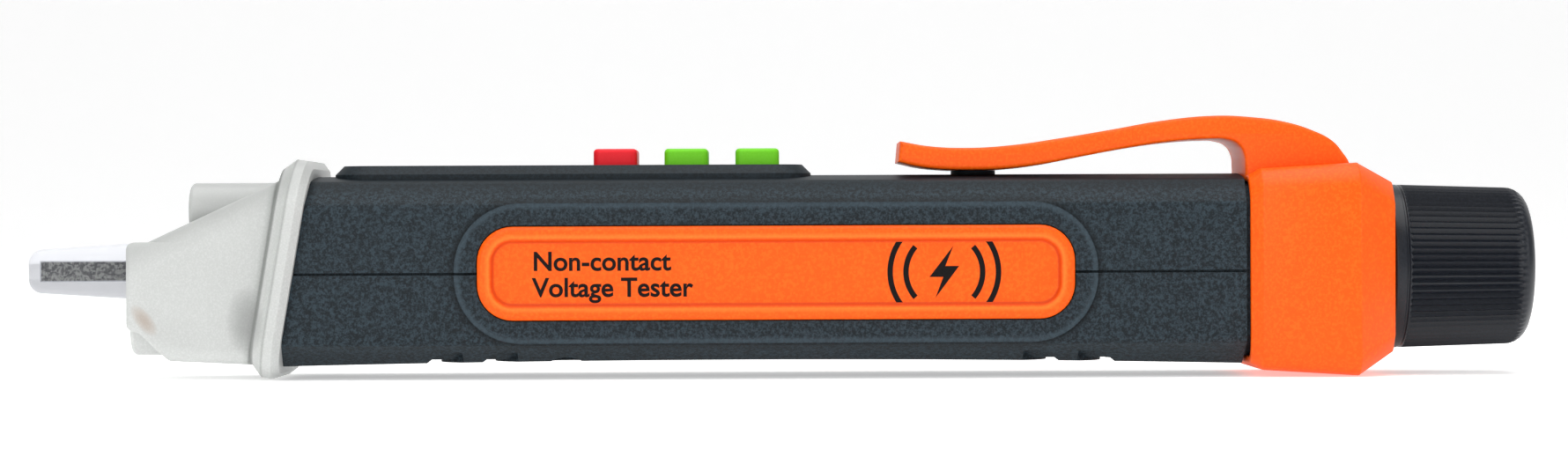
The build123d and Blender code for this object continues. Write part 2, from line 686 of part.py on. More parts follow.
with BuildPart() as nose_cone:
    add(nose_form(0, NOSE_X))
    fillet(nose_cone.edges().filter_by(is_long_nose_edge), radius=NOSE_ROUND)
    fillet(nose_cone.faces().sort_by(Axis.X)[0].edges(), radius=NOSE_FRONT_ROUND)
    add(FLANGE)
    add(NOSE_HOLLOW, mode=Mode.SUBTRACT)
    for x, z in ((SIGNAL_TUBE_X, SIGNAL_Z), (TORCH_TUBE_X, TORCH_Z)):
        add(nose_tube(x, z))
        rod(x + NOSE_WALL, FLANGE_X, 0, z, LED_BORE, Mode.SUBTRACT)
    split(bisect_by=FLANGE_BACK, keep=Keep.BOTTOM)
    add(body_ring(FLANGE_X - WALL, SPIGOT_END_X, WALL + COLLAR_CLEARANCE, WALL + NOSE_WALL))
    add(body_prism(FLANGE_X - 2 * WALL, SPIGOT_END_X, WALL + NOSE_WALL), mode=Mode.SUBTRACT)
    block(
        NOSE_X - WALL,
        NOSE_X + 2 * NOSE_WALL,
        -SENSOR_SLOT_Y,
        SENSOR_SLOT_Y,
        -SENSOR_SLOT_Z,
        SENSOR_SLOT_Z,
        Mode.SUBTRACT,
    )
nose_cone.part.label = "nose_cone"

with BuildPart() as probe_tip:
    with BuildSketch(cross(TIP_X)):
        RectangleRounded(TIP_END_WIDTH, TIP_END_HEIGHT, TIP_CORNER_SHARE * TIP_END_WIDTH)
    with BuildSketch(cross(NOSE_X)):
        RectangleRounded(TIP_BASE_WIDTH, TIP_BASE_HEIGHT, TIP_CORNER_SHARE * TIP_BASE_WIDTH)
    loft()
    fillet(probe_tip.faces().sort_by(Axis.X)[0].edges(), radius=TIP_ROUND)
    block(
        TIP_X + SENSOR_SETBACK - SENSOR_CLEARANCE,
        NOSE_X + NOSE_WALL,
        -SENSOR_SLOT_Y,
        SENSOR_SLOT_Y,
        -SENSOR_SLOT_Z,
        SENSOR_SLOT_Z,
        Mode.SUBTRACT,
    )
probe_tip.part.label = "probe_tip"

with BuildPart() as sensor_strip:
    block(
        TIP_X + SENSOR_SETBACK,
        SENSOR_END_X,
        -SENSOR_THICKNESS / 2,
        SENSOR_THICKNESS / 2,
        -SENSOR_HEIGHT / 2,
        SENSOR_HEIGHT / 2,
    )
sensor_strip.part.label = "sensor_strip"


def wire(points, bend, radius):
    """A round wire through points (x, y, height over the axis), with bends of one radius."""
    places = [(x, y, AXIS_Z + z) for x, y, z in points]
    with BuildPart() as strand:
        with BuildLine() as path:
            FilletPolyline(*places, radius=bend)
        with BuildSketch(Plane(origin=path.line @ 0, z_dir=path.line % 0)):
            Circle(radius)
        sweep()
    return strand.part


with BuildPart() as sensor_lead:
    add(
        wire(
            (
                (SENSOR_END_X, 0, 0),
                (FLANGE_X - 2 * NOSE_WALL, 0, 0),
                (BOARD_X + 2 * LEAD_RADIUS, 0, BOARD_BOTTOM - LEAD_SAG),
                (BOARD_X + 2 * LEAD_RADIUS, 0, BOARD_BOTTOM),
            ),
            LEAD_BEND,
            LEAD_RADIUS,
        )
    )
sensor_lead.part.label = "sensor_lead"


def light(tube_x, z):
    """A 3 mm lamp with a domed front and a rim at its back, in the tube that starts at tube_x."""
    x0 = tube_x + NOSE_WALL + PART_GAP
    x1 = x0 + LED_LENGTH
    with BuildPart() as lamp:
        rod(x0, x1, 0, z, LED_RADIUS)
        fillet(lamp.faces().sort_by(Axis.X)[0].edges(), radius=LED_DOME)
        rod(x1 - 2 * LED_RIM, x1, 0, z, LED_RADIUS + LED_RIM)
    return lamp.part


LIGHT_LENGTH = NOSE_WALL + PART_GAP + LED_LENGTH

with BuildPart() as signal_light:
    add(light(SIGNAL_TUBE_X, SIGNAL_Z))
signal_light.part.label = "signal_light"

with BuildPart() as signal_light_pins:
    for y in (PIN_SPACING / 2, -PIN_SPACING / 2):
        rod(SIGNAL_TUBE_X + LIGHT_LENGTH, BOARD_X, y, SIGNAL_Z, PIN_RADIUS)
signal_light_pins.part.label = "signal_light_pins"

with BuildPart() as torch_light:
    add(light(TORCH_TUBE_X, TORCH_Z))
torch_light.part.label = "torch_light"

with BuildPart() as torch_light_pins:
    for y in (PIN_SPACING / 2, -PIN_SPACING / 2):
        add(
            wire(
                (
                    (TORCH_TUBE_X + LIGHT_LENGTH, y, TORCH_Z),
                    (BOARD_X + 2 * LEAD_RADIUS, y, TORCH_Z),
                    (BOARD_X + 2 * LEAD_RADIUS, y, BOARD_BOTTOM),
                ),
                PIN_BEND,
                PIN_RADIUS,
            )
        )
torch_light_pins.part.label = "torch_light_pins"

with BuildPart() as main_board:
    block(BOARD_X, BOARD_BACK_X, -BOARD_HALF_WIDTH, BOARD_HALF_WIDTH, BOARD_BOTTOM, BOARD_TOP)
    fillet(main_board.edges().filter_by(Axis.Z), radius=BOARD_CORNER)
    for y in (SCREW_Y, -SCREW_Y):
        post(SCREW_X, y, BOARD_BOTTOM, BOARD_TOP, SCREW_RADIUS + HOLE_CLEARANCE, Mode.SUBTRACT)
main_board.part.label = "main_board"

with BuildPart() as controller_chip:
    block(
        CHIP_X - CHIP_LENGTH / 2,
        CHIP_X + CHIP_LENGTH / 2,
        -CHIP_WIDTH / 2,
        CHIP_WIDTH / 2,
        BOARD_BOTTOM - CHIP_HEIGHT,
        BOARD_BOTTOM,
    )
    chamfer(controller_chip.faces().sort_by(Axis.Z)[0].edges(), length=CHIP_BEVEL)
controller_chip.part.label = "controller_chip"

with BuildPart() as board_components:
    for setback in COMPONENT_SETBACKS:
        for y in (COMPONENT_SPREAD / 2, -COMPONENT_SPREAD / 2):
            block(
                BOARD_BACK_X - setback - COMPONENT_LENGTH / 2,
                BOARD_BACK_X - setback + COMPONENT_LENGTH / 2,
                y - COMPONENT_WIDTH / 2,
                y + COMPONENT_WIDTH / 2,
                BOARD_TOP,
                BOARD_TOP + COMPONENT_HEIGHT,
            )
board_components.part.label = "board_components"

with BuildPart() as buzzer:
    base = BOARD_BOTTOM - BUZZER_HEIGHT
    post(BUZZER_X, 0, base, BOARD_BOTTOM, BUZZER_RADIUS)
    fillet(buzzer.faces().sort_by(Axis.Z)[0].edges(), radius=BUZZER_EDGE)
    post(BUZZER_X, 0, base, base + BUZZER_HOLE_DEPTH, BUZZER_HOLE_RADIUS, Mode.SUBTRACT)
buzzer.part.label = "buzzer"

with BuildPart() as lcd_frame:
    inner_x = WINDOW_LENGTH - 2 * FRAME_WALL - 2 * WINDOW_CLEARANCE
    inner_y = WINDOW_WIDTH + 2 * WINDOW_LEDGE - 2 * FRAME_WALL - 2 * WINDOW_CLEARANCE
    with BuildSketch(level(BOARD_TOP)):
        with Locations((WINDOW_MID_X, 0)):
            Rectangle(inner_x + 2 * FRAME_WALL, inner_y + 2 * FRAME_WALL)
            Rectangle(inner_x, inner_y, mode=Mode.SUBTRACT)
    extrude(amount=LEDGE_FLOOR - PART_GAP - BOARD_TOP)
lcd_frame.part.label = "lcd_frame"

with BuildPart() as lcd_glass:
    half_x = inner_x / 2 - WINDOW_CLEARANCE
    half_y = inner_y / 2 - WINDOW_CLEARANCE
    block(
        WINDOW_MID_X - half_x,
        WINDOW_MID_X + half_x,
        -half_y,
        half_y,
        LEDGE_FLOOR - PART_GAP - GLASS_THICKNESS,
        LEDGE_FLOOR - PART_GAP,
    )
lcd_glass.part.label = "lcd_glass"

with BuildPart() as lcd_connectors:
    for y in (half_y - CONNECTOR_SETBACK, CONNECTOR_SETBACK - half_y):
        block(
            WINDOW_MID_X - half_x,
            WINDOW_MID_X + half_x,
            y - CONNECTOR_WIDTH / 2,
            y + CONNECTOR_WIDTH / 2,
            BOARD_TOP,
            LEDGE_FLOOR - PART_GAP - GLASS_THICKNESS,
        )
lcd_connectors.part.label = "lcd_connectors"

with BuildPart() as display_window:
    block(
        WINDOW_X + WINDOW_CLEARANCE,
        WINDOW_BACK_X - WINDOW_CLEARANCE,
        WINDOW_CLEARANCE - WINDOW_WIDTH / 2,
        WINDOW_WIDTH / 2 - WINDOW_CLEARANCE,
        WINDOW_FLOOR,
        WINDOW_FLOOR + WINDOW_THICKNESS,
    )
    chamfer(display_window.faces().sort_by(Axis.Z)[-1].edges(), length=WINDOW_BEVEL)
display_window.part.label = "display_window"

with BuildPart() as switch_bodies:
    for x in BUTTON_XS:
        half = SWITCH_SIZE / 2
        block(x - half, x + half, -half, half, BOARD_TOP, SWITCH_TOP)
        post(x, 0, BOARD_TOP + PART_GAP, SWITCH_TOP, PLUNGER_RADIUS + PART_GAP, Mode.SUBTRACT)
switch_bodies.part.label = "switch_bodies"


def push_button(x):
    """A moulded push button: cap through the deck, retaining flange under it, stem to the switch."""
    with BuildPart() as key:
        with BuildSketch(level(FLANGE_BASE + BUTTON_FLANGE)):
            with Locations((x, 0)):
                RectangleRounded(BUTTON_LENGTH, BUTTON_WIDTH, BUTTON_CORNER)
        extrude(amount=BUTTON_TOP - FLANGE_BASE - BUTTON_FLANGE)
        fillet(key.faces().sort_by(Axis.Z)[-1].edges(), radius=BUTTON_EDGE)
        half_x = BUTTON_LENGTH / 2 + BUTTON_FLANGE_REACH
        half_y = BUTTON_WIDTH / 2 + BUTTON_FLANGE_REACH
        top = FLANGE_BASE + BUTTON_FLANGE
        block(x - half_x, x + half_x, -half_y, half_y, FLANGE_BASE, top)
        post(x, 0, PLUNGER_TOP, FLANGE_BASE, PLUNGER_RADIUS)
    return key.part


def plunger(x):
    """The moving pin of one tact switch, which the button's stem presses."""
    with BuildPart() as pin:
        post(x, 0, PLUNGER_TOP - SWITCH_HEIGHT + PART_GAP * 2, PLUNGER_TOP, PLUNGER_RADIUS)
    return pin.part


BUTTON_NAMES = ("power", "torch", "range")
buttons = {}
for name, x in zip(BUTTON_NAMES, BUTTON_XS):
    buttons[name + "_button"] = push_button(x)
    buttons[name + "_switch_plunger"] = plunger(x)
for name, piece in buttons.items():
    piece.label = name

with BuildPart() as battery_tube:
    rod(TUBE_FRONT_X, TUBE_BACK_X, 0, 0, TUBE_OUTER)
    with BuildLine() as thread_path:
        Helix(
            THREAD_PITCH,
            THREAD_PITCH * THREAD_TURNS,
            TUBE_OUTER - THREAD_ROOT,
            center=(THREAD_X, 0, AXIS_Z),
            direction=(1, 0, 0),
        )
    with BuildSketch(Plane(origin=thread_path.line @ 0, x_dir=(1, 0, 0), z_dir=thread_path.line % 0)):
        Rectangle(THREAD_LAND, 2 * (THREAD_DEPTH + THREAD_ROOT))
    thread_ridge = sweep(path=thread_path.line, is_frenet=True, mode=Mode.PRIVATE)
    add(thread_ridge)
    rod(TUBE_FRONT_X + TUBE_END_WALL, TUBE_BACK_X, 0, 0, TUBE_BORE, Mode.SUBTRACT)
    block(
        TUBE_FRONT_X,
        BOARD_BACK_X + BOARD_END_GAP,
        -BODY_HALF_WIDTH,
        BODY_HALF_WIDTH,
        CELL_RADIUS - TUBE_CUT_DEPTH,
        BODY_HALF_WIDTH,
        Mode.SUBTRACT,
    )
    block(
        TUBE_FRONT_X + TUBE_END_WALL,
        STRIP_LEG_BACK_X + STRIP_WIDTH,
        -TUBE_OUTER,
        -CELL_RADIUS,
        -STRIP_WIDTH,
        CELL_RADIUS,
        Mode.SUBTRACT,
    )
    rod(
        TUBE_FRONT_X,
        TUBE_FRONT_X + TUBE_END_WALL,
        0,
        0,
        CONTACT_STEM_RADIUS + CONTACT_HOLE_CLEARANCE,
        Mode.SUBTRACT,
    )
battery_tube.part.label = "battery_tube"


def cell(x_front):
    """An AAA cell with its positive nub at x_front, towards the probe."""
    with BuildPart() as can:
        rod(x_front + CELL_NUB_LENGTH, x_front + CELL_LENGTH, 0, 0, CELL_RADIUS)
        fillet(can.edges().filter_by(GeomType.CIRCLE), radius=CELL_EDGE)
        rod(x_front, x_front + 2 * CELL_NUB_LENGTH, 0, 0, CELL_NUB_DIAMETER / 2)
    return can.part


with BuildPart() as front_cell:
    add(cell(FRONT_CELL_X))
front_cell.part.label = "front_cell"

with BuildPart() as rear_cell:
    add(cell(CELL_JOIN_X))
rear_cell.part.label = "rear_cell"

with BuildPart() as front_contact:
    tab_x = TUBE_FRONT_X - CONTACT_THICKNESS
    rod(FRONT_CELL_X - CONTACT_THICKNESS, FRONT_CELL_X, 0, 0, CELL_RADIUS - CONTACT_MARGIN)
    rod(tab_x, FRONT_CELL_X - CONTACT_THICKNESS, 0, 0, CONTACT_STEM_RADIUS)
    block(
        tab_x - CONTACT_TAB,
        tab_x,
        -STRIP_WIDTH / 2,
        STRIP_WIDTH / 2,
        -CONTACT_STEM_RADIUS,
        BOARD_BOTTOM,
    )
front_contact.part.label = "front_contact"

with BuildPart() as contact_strip:
    strip_y = -(TUBE_BORE + CELL_RADIUS - STRIP_THICKNESS) / 2
    block(
        STRIP_LEG_X,
        TUBE_BACK_X + STRIP_THICKNESS,
        strip_y - STRIP_THICKNESS,
        strip_y,
        -STRIP_WIDTH / 2,
        STRIP_WIDTH / 2,
    )
    block(
        STRIP_LEG_X,
        STRIP_LEG_BACK_X,
        strip_y - STRIP_THICKNESS,
        strip_y,
        -STRIP_WIDTH / 2,
        BOARD_BOTTOM,
    )
    block(
        TUBE_BACK_X,
        TUBE_BACK_X + STRIP_THICKNESS,
        -TUBE_OUTER + PART_GAP,
        strip_y,
        -STRIP_WIDTH / 2,
        STRIP_WIDTH / 2,
    )
contact_strip.part.label = "contact_strip"

with BuildPart() as battery_cap:
    with BuildSketch(upright(0)):
        with BuildLine():
            Polyline(
                (COLLAR_BACK_X + CAP_GAP, 0),
                (COLLAR_BACK_X + CAP_GAP, CAP_RADIUS),
                (TAIL_X, CAP_RADIUS - CAP_DRAFT),
                (TAIL_X, 0),
                close=True,
            )
        make_face()
    revolve(axis=Axis((0, 0, AXIS_Z), (1, 0, 0)))
    fillet(battery_cap.faces().sort_by(Axis.X)[-1].edges(), radius=CAP_ROUND)
    rod(COLLAR_BACK_X, CAP_FLOOR_X, 0, 0, CAP_BORE, Mode.SUBTRACT)
battery_cap.part.label = "battery_cap"

with BuildPart() as cap_contact:
    rod(DISC_X, CAP_FLOOR_X, 0, 0, CAP_BORE - CAP_GAP)
cap_contact.part.label = "cap_contact"

with BuildPart() as cap_spring:
    with BuildLine() as coil:
        Helix(
            (SPRING_LENGTH - SPRING_WIRE - 2 * PART_GAP) / SPRING_TURNS,
            SPRING_LENGTH - SPRING_WIRE - 2 * PART_GAP,
            CELL_RADIUS - SPRING_MARGIN,
            center=(REAR_CELL_X + SPRING_WIRE / 2 + PART_GAP, 0, AXIS_Z),
            direction=(1, 0, 0),
        )
    with BuildSketch(Plane(origin=coil.line @ 0, z_dir=coil.line % 0)):
        Circle(SPRING_WIRE / 2)
    sweep(path=coil.line, is_frenet=True)
cap_spring.part.label = "cap_spring"

with BuildPart() as cap_seal:
    with BuildSketch(upright(0)):
        with Locations((COLLAR_BACK_X + CAP_GAP + 2 * SEAL_RADIUS, TUBE_OUTER + SEAL_RADIUS)):
            Circle(SEAL_RADIUS)
    revolve(axis=Axis((0, 0, AXIS_Z), (1, 0, 0)))
cap_seal.part.label = "cap_seal"


def collar_section(half_width, top, bottom, corner):
    """The collar's outline at one station: a rounded box taller above than below."""
    with BuildSketch() as outline:
        with Locations((0, (top + bottom) / 2)):
            RectangleRounded(2 * half_width, top - bottom, corner)
    return outline.sketch


with BuildPart() as tail_collar:
    with BuildSketch(cross(COLLAR_X)):
        add(collar_section(COLLAR_HALF_WIDTH, COLLAR_TOP, COLLAR_BOTTOM, COLLAR_ROUND))
    with BuildSketch(cross(COLLAR_EDGE_X)):
        add(
            collar_section(
                COLLAR_EDGE_HALF_WIDTH, COLLAR_EDGE_TOP, COLLAR_EDGE_BOTTOM, COLLAR_ROUND
            )
        )
    loft(ruled=True)
    with BuildSketch(cross(COLLAR_EDGE_X)):
        add(
            collar_section(
                COLLAR_EDGE_HALF_WIDTH, COLLAR_EDGE_TOP, COLLAR_EDGE_BOTTOM, COLLAR_ROUND
            )
        )
    with BuildSketch(cross(COLLAR_BACK_X)):
        back = CAP_RADIUS + COLLAR_BACK_STANDOUT
        add(collar_section(back, back, -back, back - COLLAR_BACK_FLAT))
    loft(ruled=True)
    with BuildSketch(upright(CLIP_WIDTH / 2)):
        with BuildLine():
            hump_top = HINGE_Z + CLIP_RADIUS
            slope = [(COLLAR_X + reach, hump_top - drop) for reach, drop in HUMP_STEPS]
            Polyline(
                (COLLAR_X, CROWN_TOP - WALL),
                (COLLAR_X, hump_top),
                *slope,
                (COLLAR_EDGE_X - HUMP_END_GAP, CROWN_TOP - WALL),
                close=True,
            )
        make_face()
    extrude(amount=CLIP_WIDTH)
    add(
        body_prism(COLLAR_X - WALL, SPIGOT_BACK_X + 2 * COLLAR_CLEARANCE, SPIGOT_INSET - COLLAR_CLEARANCE),
        mode=Mode.SUBTRACT,
    )
    rod(COLLAR_X, COLLAR_BACK_X, 0, 0, TUBE_OUTER + COLLAR_CLEARANCE, Mode.SUBTRACT)
    with BuildSketch(upright(BODY_HALF_WIDTH)):
        with Locations((HINGE_X, HINGE_Z)):
            Circle(CLIP_RADIUS + HINGE_CLEARANCE)
    extrude(amount=2 * BODY_HALF_WIDTH, mode=Mode.SUBTRACT)
tail_collar.part.label = "tail_collar"

with BuildPart() as pocket_clip:
    with BuildSketch(upright(CLIP_WIDTH / 2)):
        with BuildLine():
            tip_low = (HINGE_X - CLIP_REACH, BUMP_TOP + CLIP_TIP_LIFT)
            tip_high = (HINGE_X - CLIP_REACH, BUMP_TOP + CLIP_TIP_LIFT + CLIP_TIP_THICKNESS)
            rest_low = (BUMP_X, BUMP_TOP + BUMP_GAP)
            rest_high = (BUMP_X + BUMP_RADIUS, BUMP_TOP + BUMP_GAP + CLIP_THICKNESS - CLIP_THINNING)
            waist_x = HINGE_X - CLIP_WAIST
            waist_low = (waist_x, HINGE_Z - CLIP_RADIUS - CLIP_WAIST_DROP)
            waist_high = (waist_x, HINGE_Z + CLIP_RADIUS - CLIP_WAIST_DROP)
            root_low = (HINGE_X, HINGE_Z - CLIP_RADIUS)
            root_high = (HINGE_X, HINGE_Z + CLIP_RADIUS)
            Spline(tip_low, rest_low, waist_low, root_low, tangents=((1, -CLIP_TIP_SLOPE), (1, 0)))
            Line(root_low, root_high)
            Spline(root_high, waist_high, rest_high, tip_high, tangents=((-1, 0), (-1, CLIP_TIP_SLOPE)))
            Line(tip_high, tip_low)
        make_face()
        with Locations((HINGE_X, HINGE_Z)):
            Circle(CLIP_RADIUS)
    extrude(amount=CLIP_WIDTH)
pocket_clip.part.label = "pocket_clip"


def side_panel(way):
    """A coloured panel with a raised rim, set in its pocket across the seam; way 1 is on +Y."""
    with BuildPart() as panel:
        add(
            slot_plate(
                side_plane(way, PANEL_FLOOR_Y),
                PANEL_X,
                -way * PANEL_Z,
                PANEL_LENGTH,
                PANEL_HEIGHT,
                PANEL_CORNER,
                PANEL_THICKNESS,
            )
        )
        add(
            slot_plate(
                side_plane(way, PANEL_FACE_Y - PANEL_STEP),
                PANEL_X,
                -way * PANEL_Z,
                PANEL_LENGTH - 2 * PANEL_RIM,
                PANEL_HEIGHT - 2 * PANEL_RIM,
                PANEL_CORNER - PANEL_RIM,
                PANEL_STEP,
            ),
            mode=Mode.SUBTRACT,
        )
    return panel.part


with BuildPart() as left_panel:
    add(side_panel(1))
left_panel.part.label = "left_panel"

with BuildPart() as right_panel:
    add(side_panel(-1))
right_panel.part.label = "right_panel"

with BuildPart() as case_screws:
    for y in (SCREW_Y, -SCREW_Y):
        post(SCREW_X, y, SCREW_HEAD_Z - SCREW_HEAD_HEIGHT, SCREW_HEAD_Z, SCREW_HEAD_RADIUS)
        post(SCREW_X, y, SCREW_HEAD_Z, SCREW_TIP_Z, SCREW_RADIUS)
        with Locations((SCREW_X, y, AXIS_Z + SCREW_HEAD_Z - SCREW_HEAD_HEIGHT)):
            Box(SCREW_SLOT_LENGTH, SCREW_SLOT_WIDTH, 2 * SCREW_SLOT_DEPTH, mode=Mode.SUBTRACT)
            Box(SCREW_SLOT_WIDTH, SCREW_SLOT_LENGTH, 2 * SCREW_SLOT_DEPTH, mode=Mode.SUBTRACT)
case_screws.part.label = "case_screws"

pieces = [
    upper_shell,
    lower_shell,
    nose_cone,
    probe_tip,
    sensor_strip,
    sensor_lead,
    signal_light,
    signal_light_pins,
    torch_light,
    torch_light_pins,
    main_board,
    controller_chip,
    board_components,
    buzzer,
    lcd_frame,
    lcd_glass,
    lcd_connectors,
    display_window,
    switch_bodies,
    battery_tube,
    front_cell,
    rear_cell,
    front_contact,
    contact_strip,
    battery_cap,
    cap_contact,
    cap_spring,
    cap_seal,
    tail_collar,
    pocket_clip,
    left_panel,
    right_panel,
    case_screws,
]

os.makedirs("parts", exist_ok=True)
for piece in pieces:
    export_step(piece.part, "parts/" + piece.part.label + ".step")
for name, part in buttons.items():
    export_step(part, "parts/" + name + ".step")
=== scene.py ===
import json
from math import atan2, cos, pi, radians, sin

import bmesh
import bpy
from bpy.props import FloatProperty, FloatVectorProperty, IntProperty, PointerProperty, StringProperty
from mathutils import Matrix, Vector


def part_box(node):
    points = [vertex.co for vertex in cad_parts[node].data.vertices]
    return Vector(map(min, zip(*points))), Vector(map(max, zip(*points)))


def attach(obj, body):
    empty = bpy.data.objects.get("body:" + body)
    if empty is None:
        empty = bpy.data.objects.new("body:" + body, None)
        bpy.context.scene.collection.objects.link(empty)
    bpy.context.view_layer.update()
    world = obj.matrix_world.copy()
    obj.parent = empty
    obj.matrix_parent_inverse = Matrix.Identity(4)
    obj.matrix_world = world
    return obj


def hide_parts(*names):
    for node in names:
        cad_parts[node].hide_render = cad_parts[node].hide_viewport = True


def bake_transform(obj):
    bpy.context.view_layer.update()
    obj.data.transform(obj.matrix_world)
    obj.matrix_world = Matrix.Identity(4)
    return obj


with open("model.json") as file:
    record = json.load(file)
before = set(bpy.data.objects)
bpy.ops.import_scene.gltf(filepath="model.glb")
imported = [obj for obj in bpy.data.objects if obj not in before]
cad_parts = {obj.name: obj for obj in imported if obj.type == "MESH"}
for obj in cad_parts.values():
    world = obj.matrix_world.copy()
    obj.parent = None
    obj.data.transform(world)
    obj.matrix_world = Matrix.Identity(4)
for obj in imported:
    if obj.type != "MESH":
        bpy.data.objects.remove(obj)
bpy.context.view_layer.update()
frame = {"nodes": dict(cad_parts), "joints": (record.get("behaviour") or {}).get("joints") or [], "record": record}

bl_info = {
    "name": "Voltage Tester Looks",
    "version": (1, 0, 0),
    "blender": (4, 5, 0),
    "location": "3D View > Sidebar > Tester",
    "description": "Builds the visible pieces and finishes of a pen-shaped voltage tester around its frame",
    "category": "Object",
}

MM = 0.001
NODES = frame["nodes"]

# ------------------------------------------------------------------ places taken from the frame
CAP_LOW, CAP_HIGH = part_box("battery_cap")
COLLAR_LOW, COLLAR_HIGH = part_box("tail_collar")
CLIP_LOW, CLIP_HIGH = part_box("pocket_clip")
PANEL_LOW, PANEL_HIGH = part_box("left_panel")
TIP_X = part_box("probe_tip")[0][0]
AXIS_Z = (CAP_LOW[2] + CAP_HIGH[2]) / 2
CAP_RADIUS = (CAP_HIGH[2] - CAP_LOW[2]) / 2
HINGE = [j for j in frame["joints"] if j["name"] == "clip_flex"][0]["pos_m"]
PANEL_X = (PANEL_LOW[0] + PANEL_HIGH[0]) / 2
PANEL_Z = (PANEL_LOW[2] + PANEL_HIGH[2]) / 2

# ------------------------------------------------------------------ places of painted highlights and shade in the finishes
FLANGE_X = TIP_X + 28.6 * MM  # where the flange's back meets the tool's axis
FLANGE_LEAN = radians(9.6)
PLATEAU_EDGE = (32.55, 7.1, 6.75)  # half length, half height and corner of the raised edge that gets a painted highlight and painted shade, in millimetres
RIM_EDGE = (30.2, 4.75, 3.6)  # the same for a panel's outline, along which the rim gets a painted highlight and painted shade

# ------------------------------------------------------------------ battery cap
# the smooth skirt and the groove before the ribs, as (along, inward) in millimetres
SKIRT = (
    (0.0, 0.18), (0.12, 0.02), (0.3, 0.0), (1.2, 0.01),
    (1.28, 0.16), (1.45, 0.16), (1.53, 0.03), (1.63, 0.03),
)
RIB_SETBACK = 1.75 * MM
RIB_INSET = 0.03 * MM
RIB_LEAD = 0.1 * MM
RIB_TAPER = 0.33 * MM
RIB_SPANS = 5
RIB_FADE = 0.9 * MM  # how far the ribs run on over the rounded end
RIB_SIDE_SHARE = 0.62  # depth of a rib's flanks, as a share of the valley's
POINTS_PER_RIB = 4
CAP_ROUND = 2.1 * MM
CAP_ROUND_STEPS = 7
HAIR = 0.02 * MM

# ------------------------------------------------------------------ tail collar
COLLAR_FLAT = 11.0 * MM
COLLAR_FLARE = 0.6 * MM
COLLAR_LIP = 1.25 * MM
COLLAR_TOP = 10.62 * MM  # over the axis
COLLAR_TOP_ROUND = 2.6 * MM
COLLAR_BOTTOM_ROUND = 2.0 * MM
COLLAR_EDGE = 0.12 * MM
COLLAR_BORE_INSET = 1.95 * MM
COLLAR_BORE_LENGTH = 9.6 * MM
# the lip at the body's side, as (along in metres, share of the width that is left)
COLLAR_LIP_STEPS = ((-0.6 * MM, 0.962), (-0.65 * MM, 0.972), (0.0, 0.93))

# ------------------------------------------------------------------ pocket clip
# its outline as (along, up) in millimetres from its hinge: the underside, the root on the collar and the top
CLIP_UNDER = (
    (-35.4, -3.25), (-33.2, -3.75), (-30.6, -4.02), (-28.4, -4.08), (-26.2, -4.06), (-24.2, -3.95),
    (-20.8, -3.55), (-15.9, -2.62), (-11.5, -1.82), (-7.3, -1.25), (-3.8, -1.02), (-1.9, -1.08),
    (-0.75, -1.55), (-0.12, -2.6), (0.0, -3.8), (0.0, -5.2),
)
CLIP_ROOT = ((10.2, -5.2), (10.7, -3.9), (9.9, -2.35), (8.9, -1.25), (6.7, -0.12), (4.1, 0.68))
CLIP_OVER = (
    (0.6, 1.18), (-3.1, 1.33), (-8.4, 0.85), (-13.7, -0.06), (-18.6, -0.86), (-24.1, -1.62),
    (-28.4, -1.85), (-32.3, -1.66), (-35.2, -1.15),
)

# ------------------------------------------------------------------ side panels and their print
PANEL_CORNER = 3.6 * MM
PANEL_BORDER = 0.35 * MM
PANEL_SWELL = 0.30 * MM
# the rim's crest, its step down and the field's border, as (inset, rise)
PANEL_INSETS = ((1.0 * MM, 0.0), (0.28 * MM, -0.42 * MM), (PANEL_BORDER, 0.0))
PRINT_DEPTH = 0.12 * MM  # the field's depth under the frame's panel
TEXT_X = 24.6 * MM
TEXT_DROP = 0.2 * MM
TEXT_SCALE = 1.42  # letter size over the height of a capital
TEXT_LINE_SPACE = 0.98
TEXT_BOLD = 0.055 * MM
TEXT_INK = 0.012 * MM
INK = 0.02 * MM
# the emblem's place from the panel's middle and the bolt's corners round it, in millimetres
EMBLEM_X = 17.0
BOLT = ((0.9, 2.6), (-1.5, -0.5), (-0.1, -0.5), (-0.9, -2.6), (1.5, 0.6), (0.1, 0.6))
ARC_RADII = (3.6 * MM, 5.2 * MM)
ARC_WIDTH = 0.55 * MM
ARC_SHARE = 0.72  # an arc keeps what lies past this share of its radius
RING_SIDES = 96
RING_THICKNESS = 0.03 * MM

# ------------------------------------------------------------------ stage, in metres
FLOOR_SIZE = (6, 2.4)
FLOOR_MIDDLE = (0, 0.2, -0.0001)
FLOOR_CURVE = 0.8
FLOOR_CURVE_STEPS = 12
WALL_HEIGHT = 1.5
FLOOR_GLOW = 0.42
SURROUND_LIGHT = 0.30
SURROUND_SEEN = 1.0
LAMPS = (  # name, place, aim, size, power
    ("top_softbox", (0.0, -0.05, 0.75), (0, 0, 0), 0.8, 5.5),
    ("front_softbox", (-0.3, -0.8, 0.40), (0, 0, 0.01), 0.6, 3.2),
    ("tail_softbox", (0.75, -0.35, 0.35), (0.03, 0, 0.01), 0.5, 1.4),
    ("backdrop_wash", (0.0, 0.7, 1.2), (0.0, 1.9, 0.3), 1.4, 2.4),
)
SENSOR_WIDTH = 36
LENS = 88.6
VIEW_X = 78.23 * MM  # from the probe tip
VIEW_Z = 4.56 * MM  # over the axis
VIEW_ROLL = radians(0.24)


def darker(colour, share):
    """A share of a colour."""
    return tuple(c * share for c in colour)


def grey(value):
    return (value, value, value)


BLACK, WHITE = grey(0), grey(1)


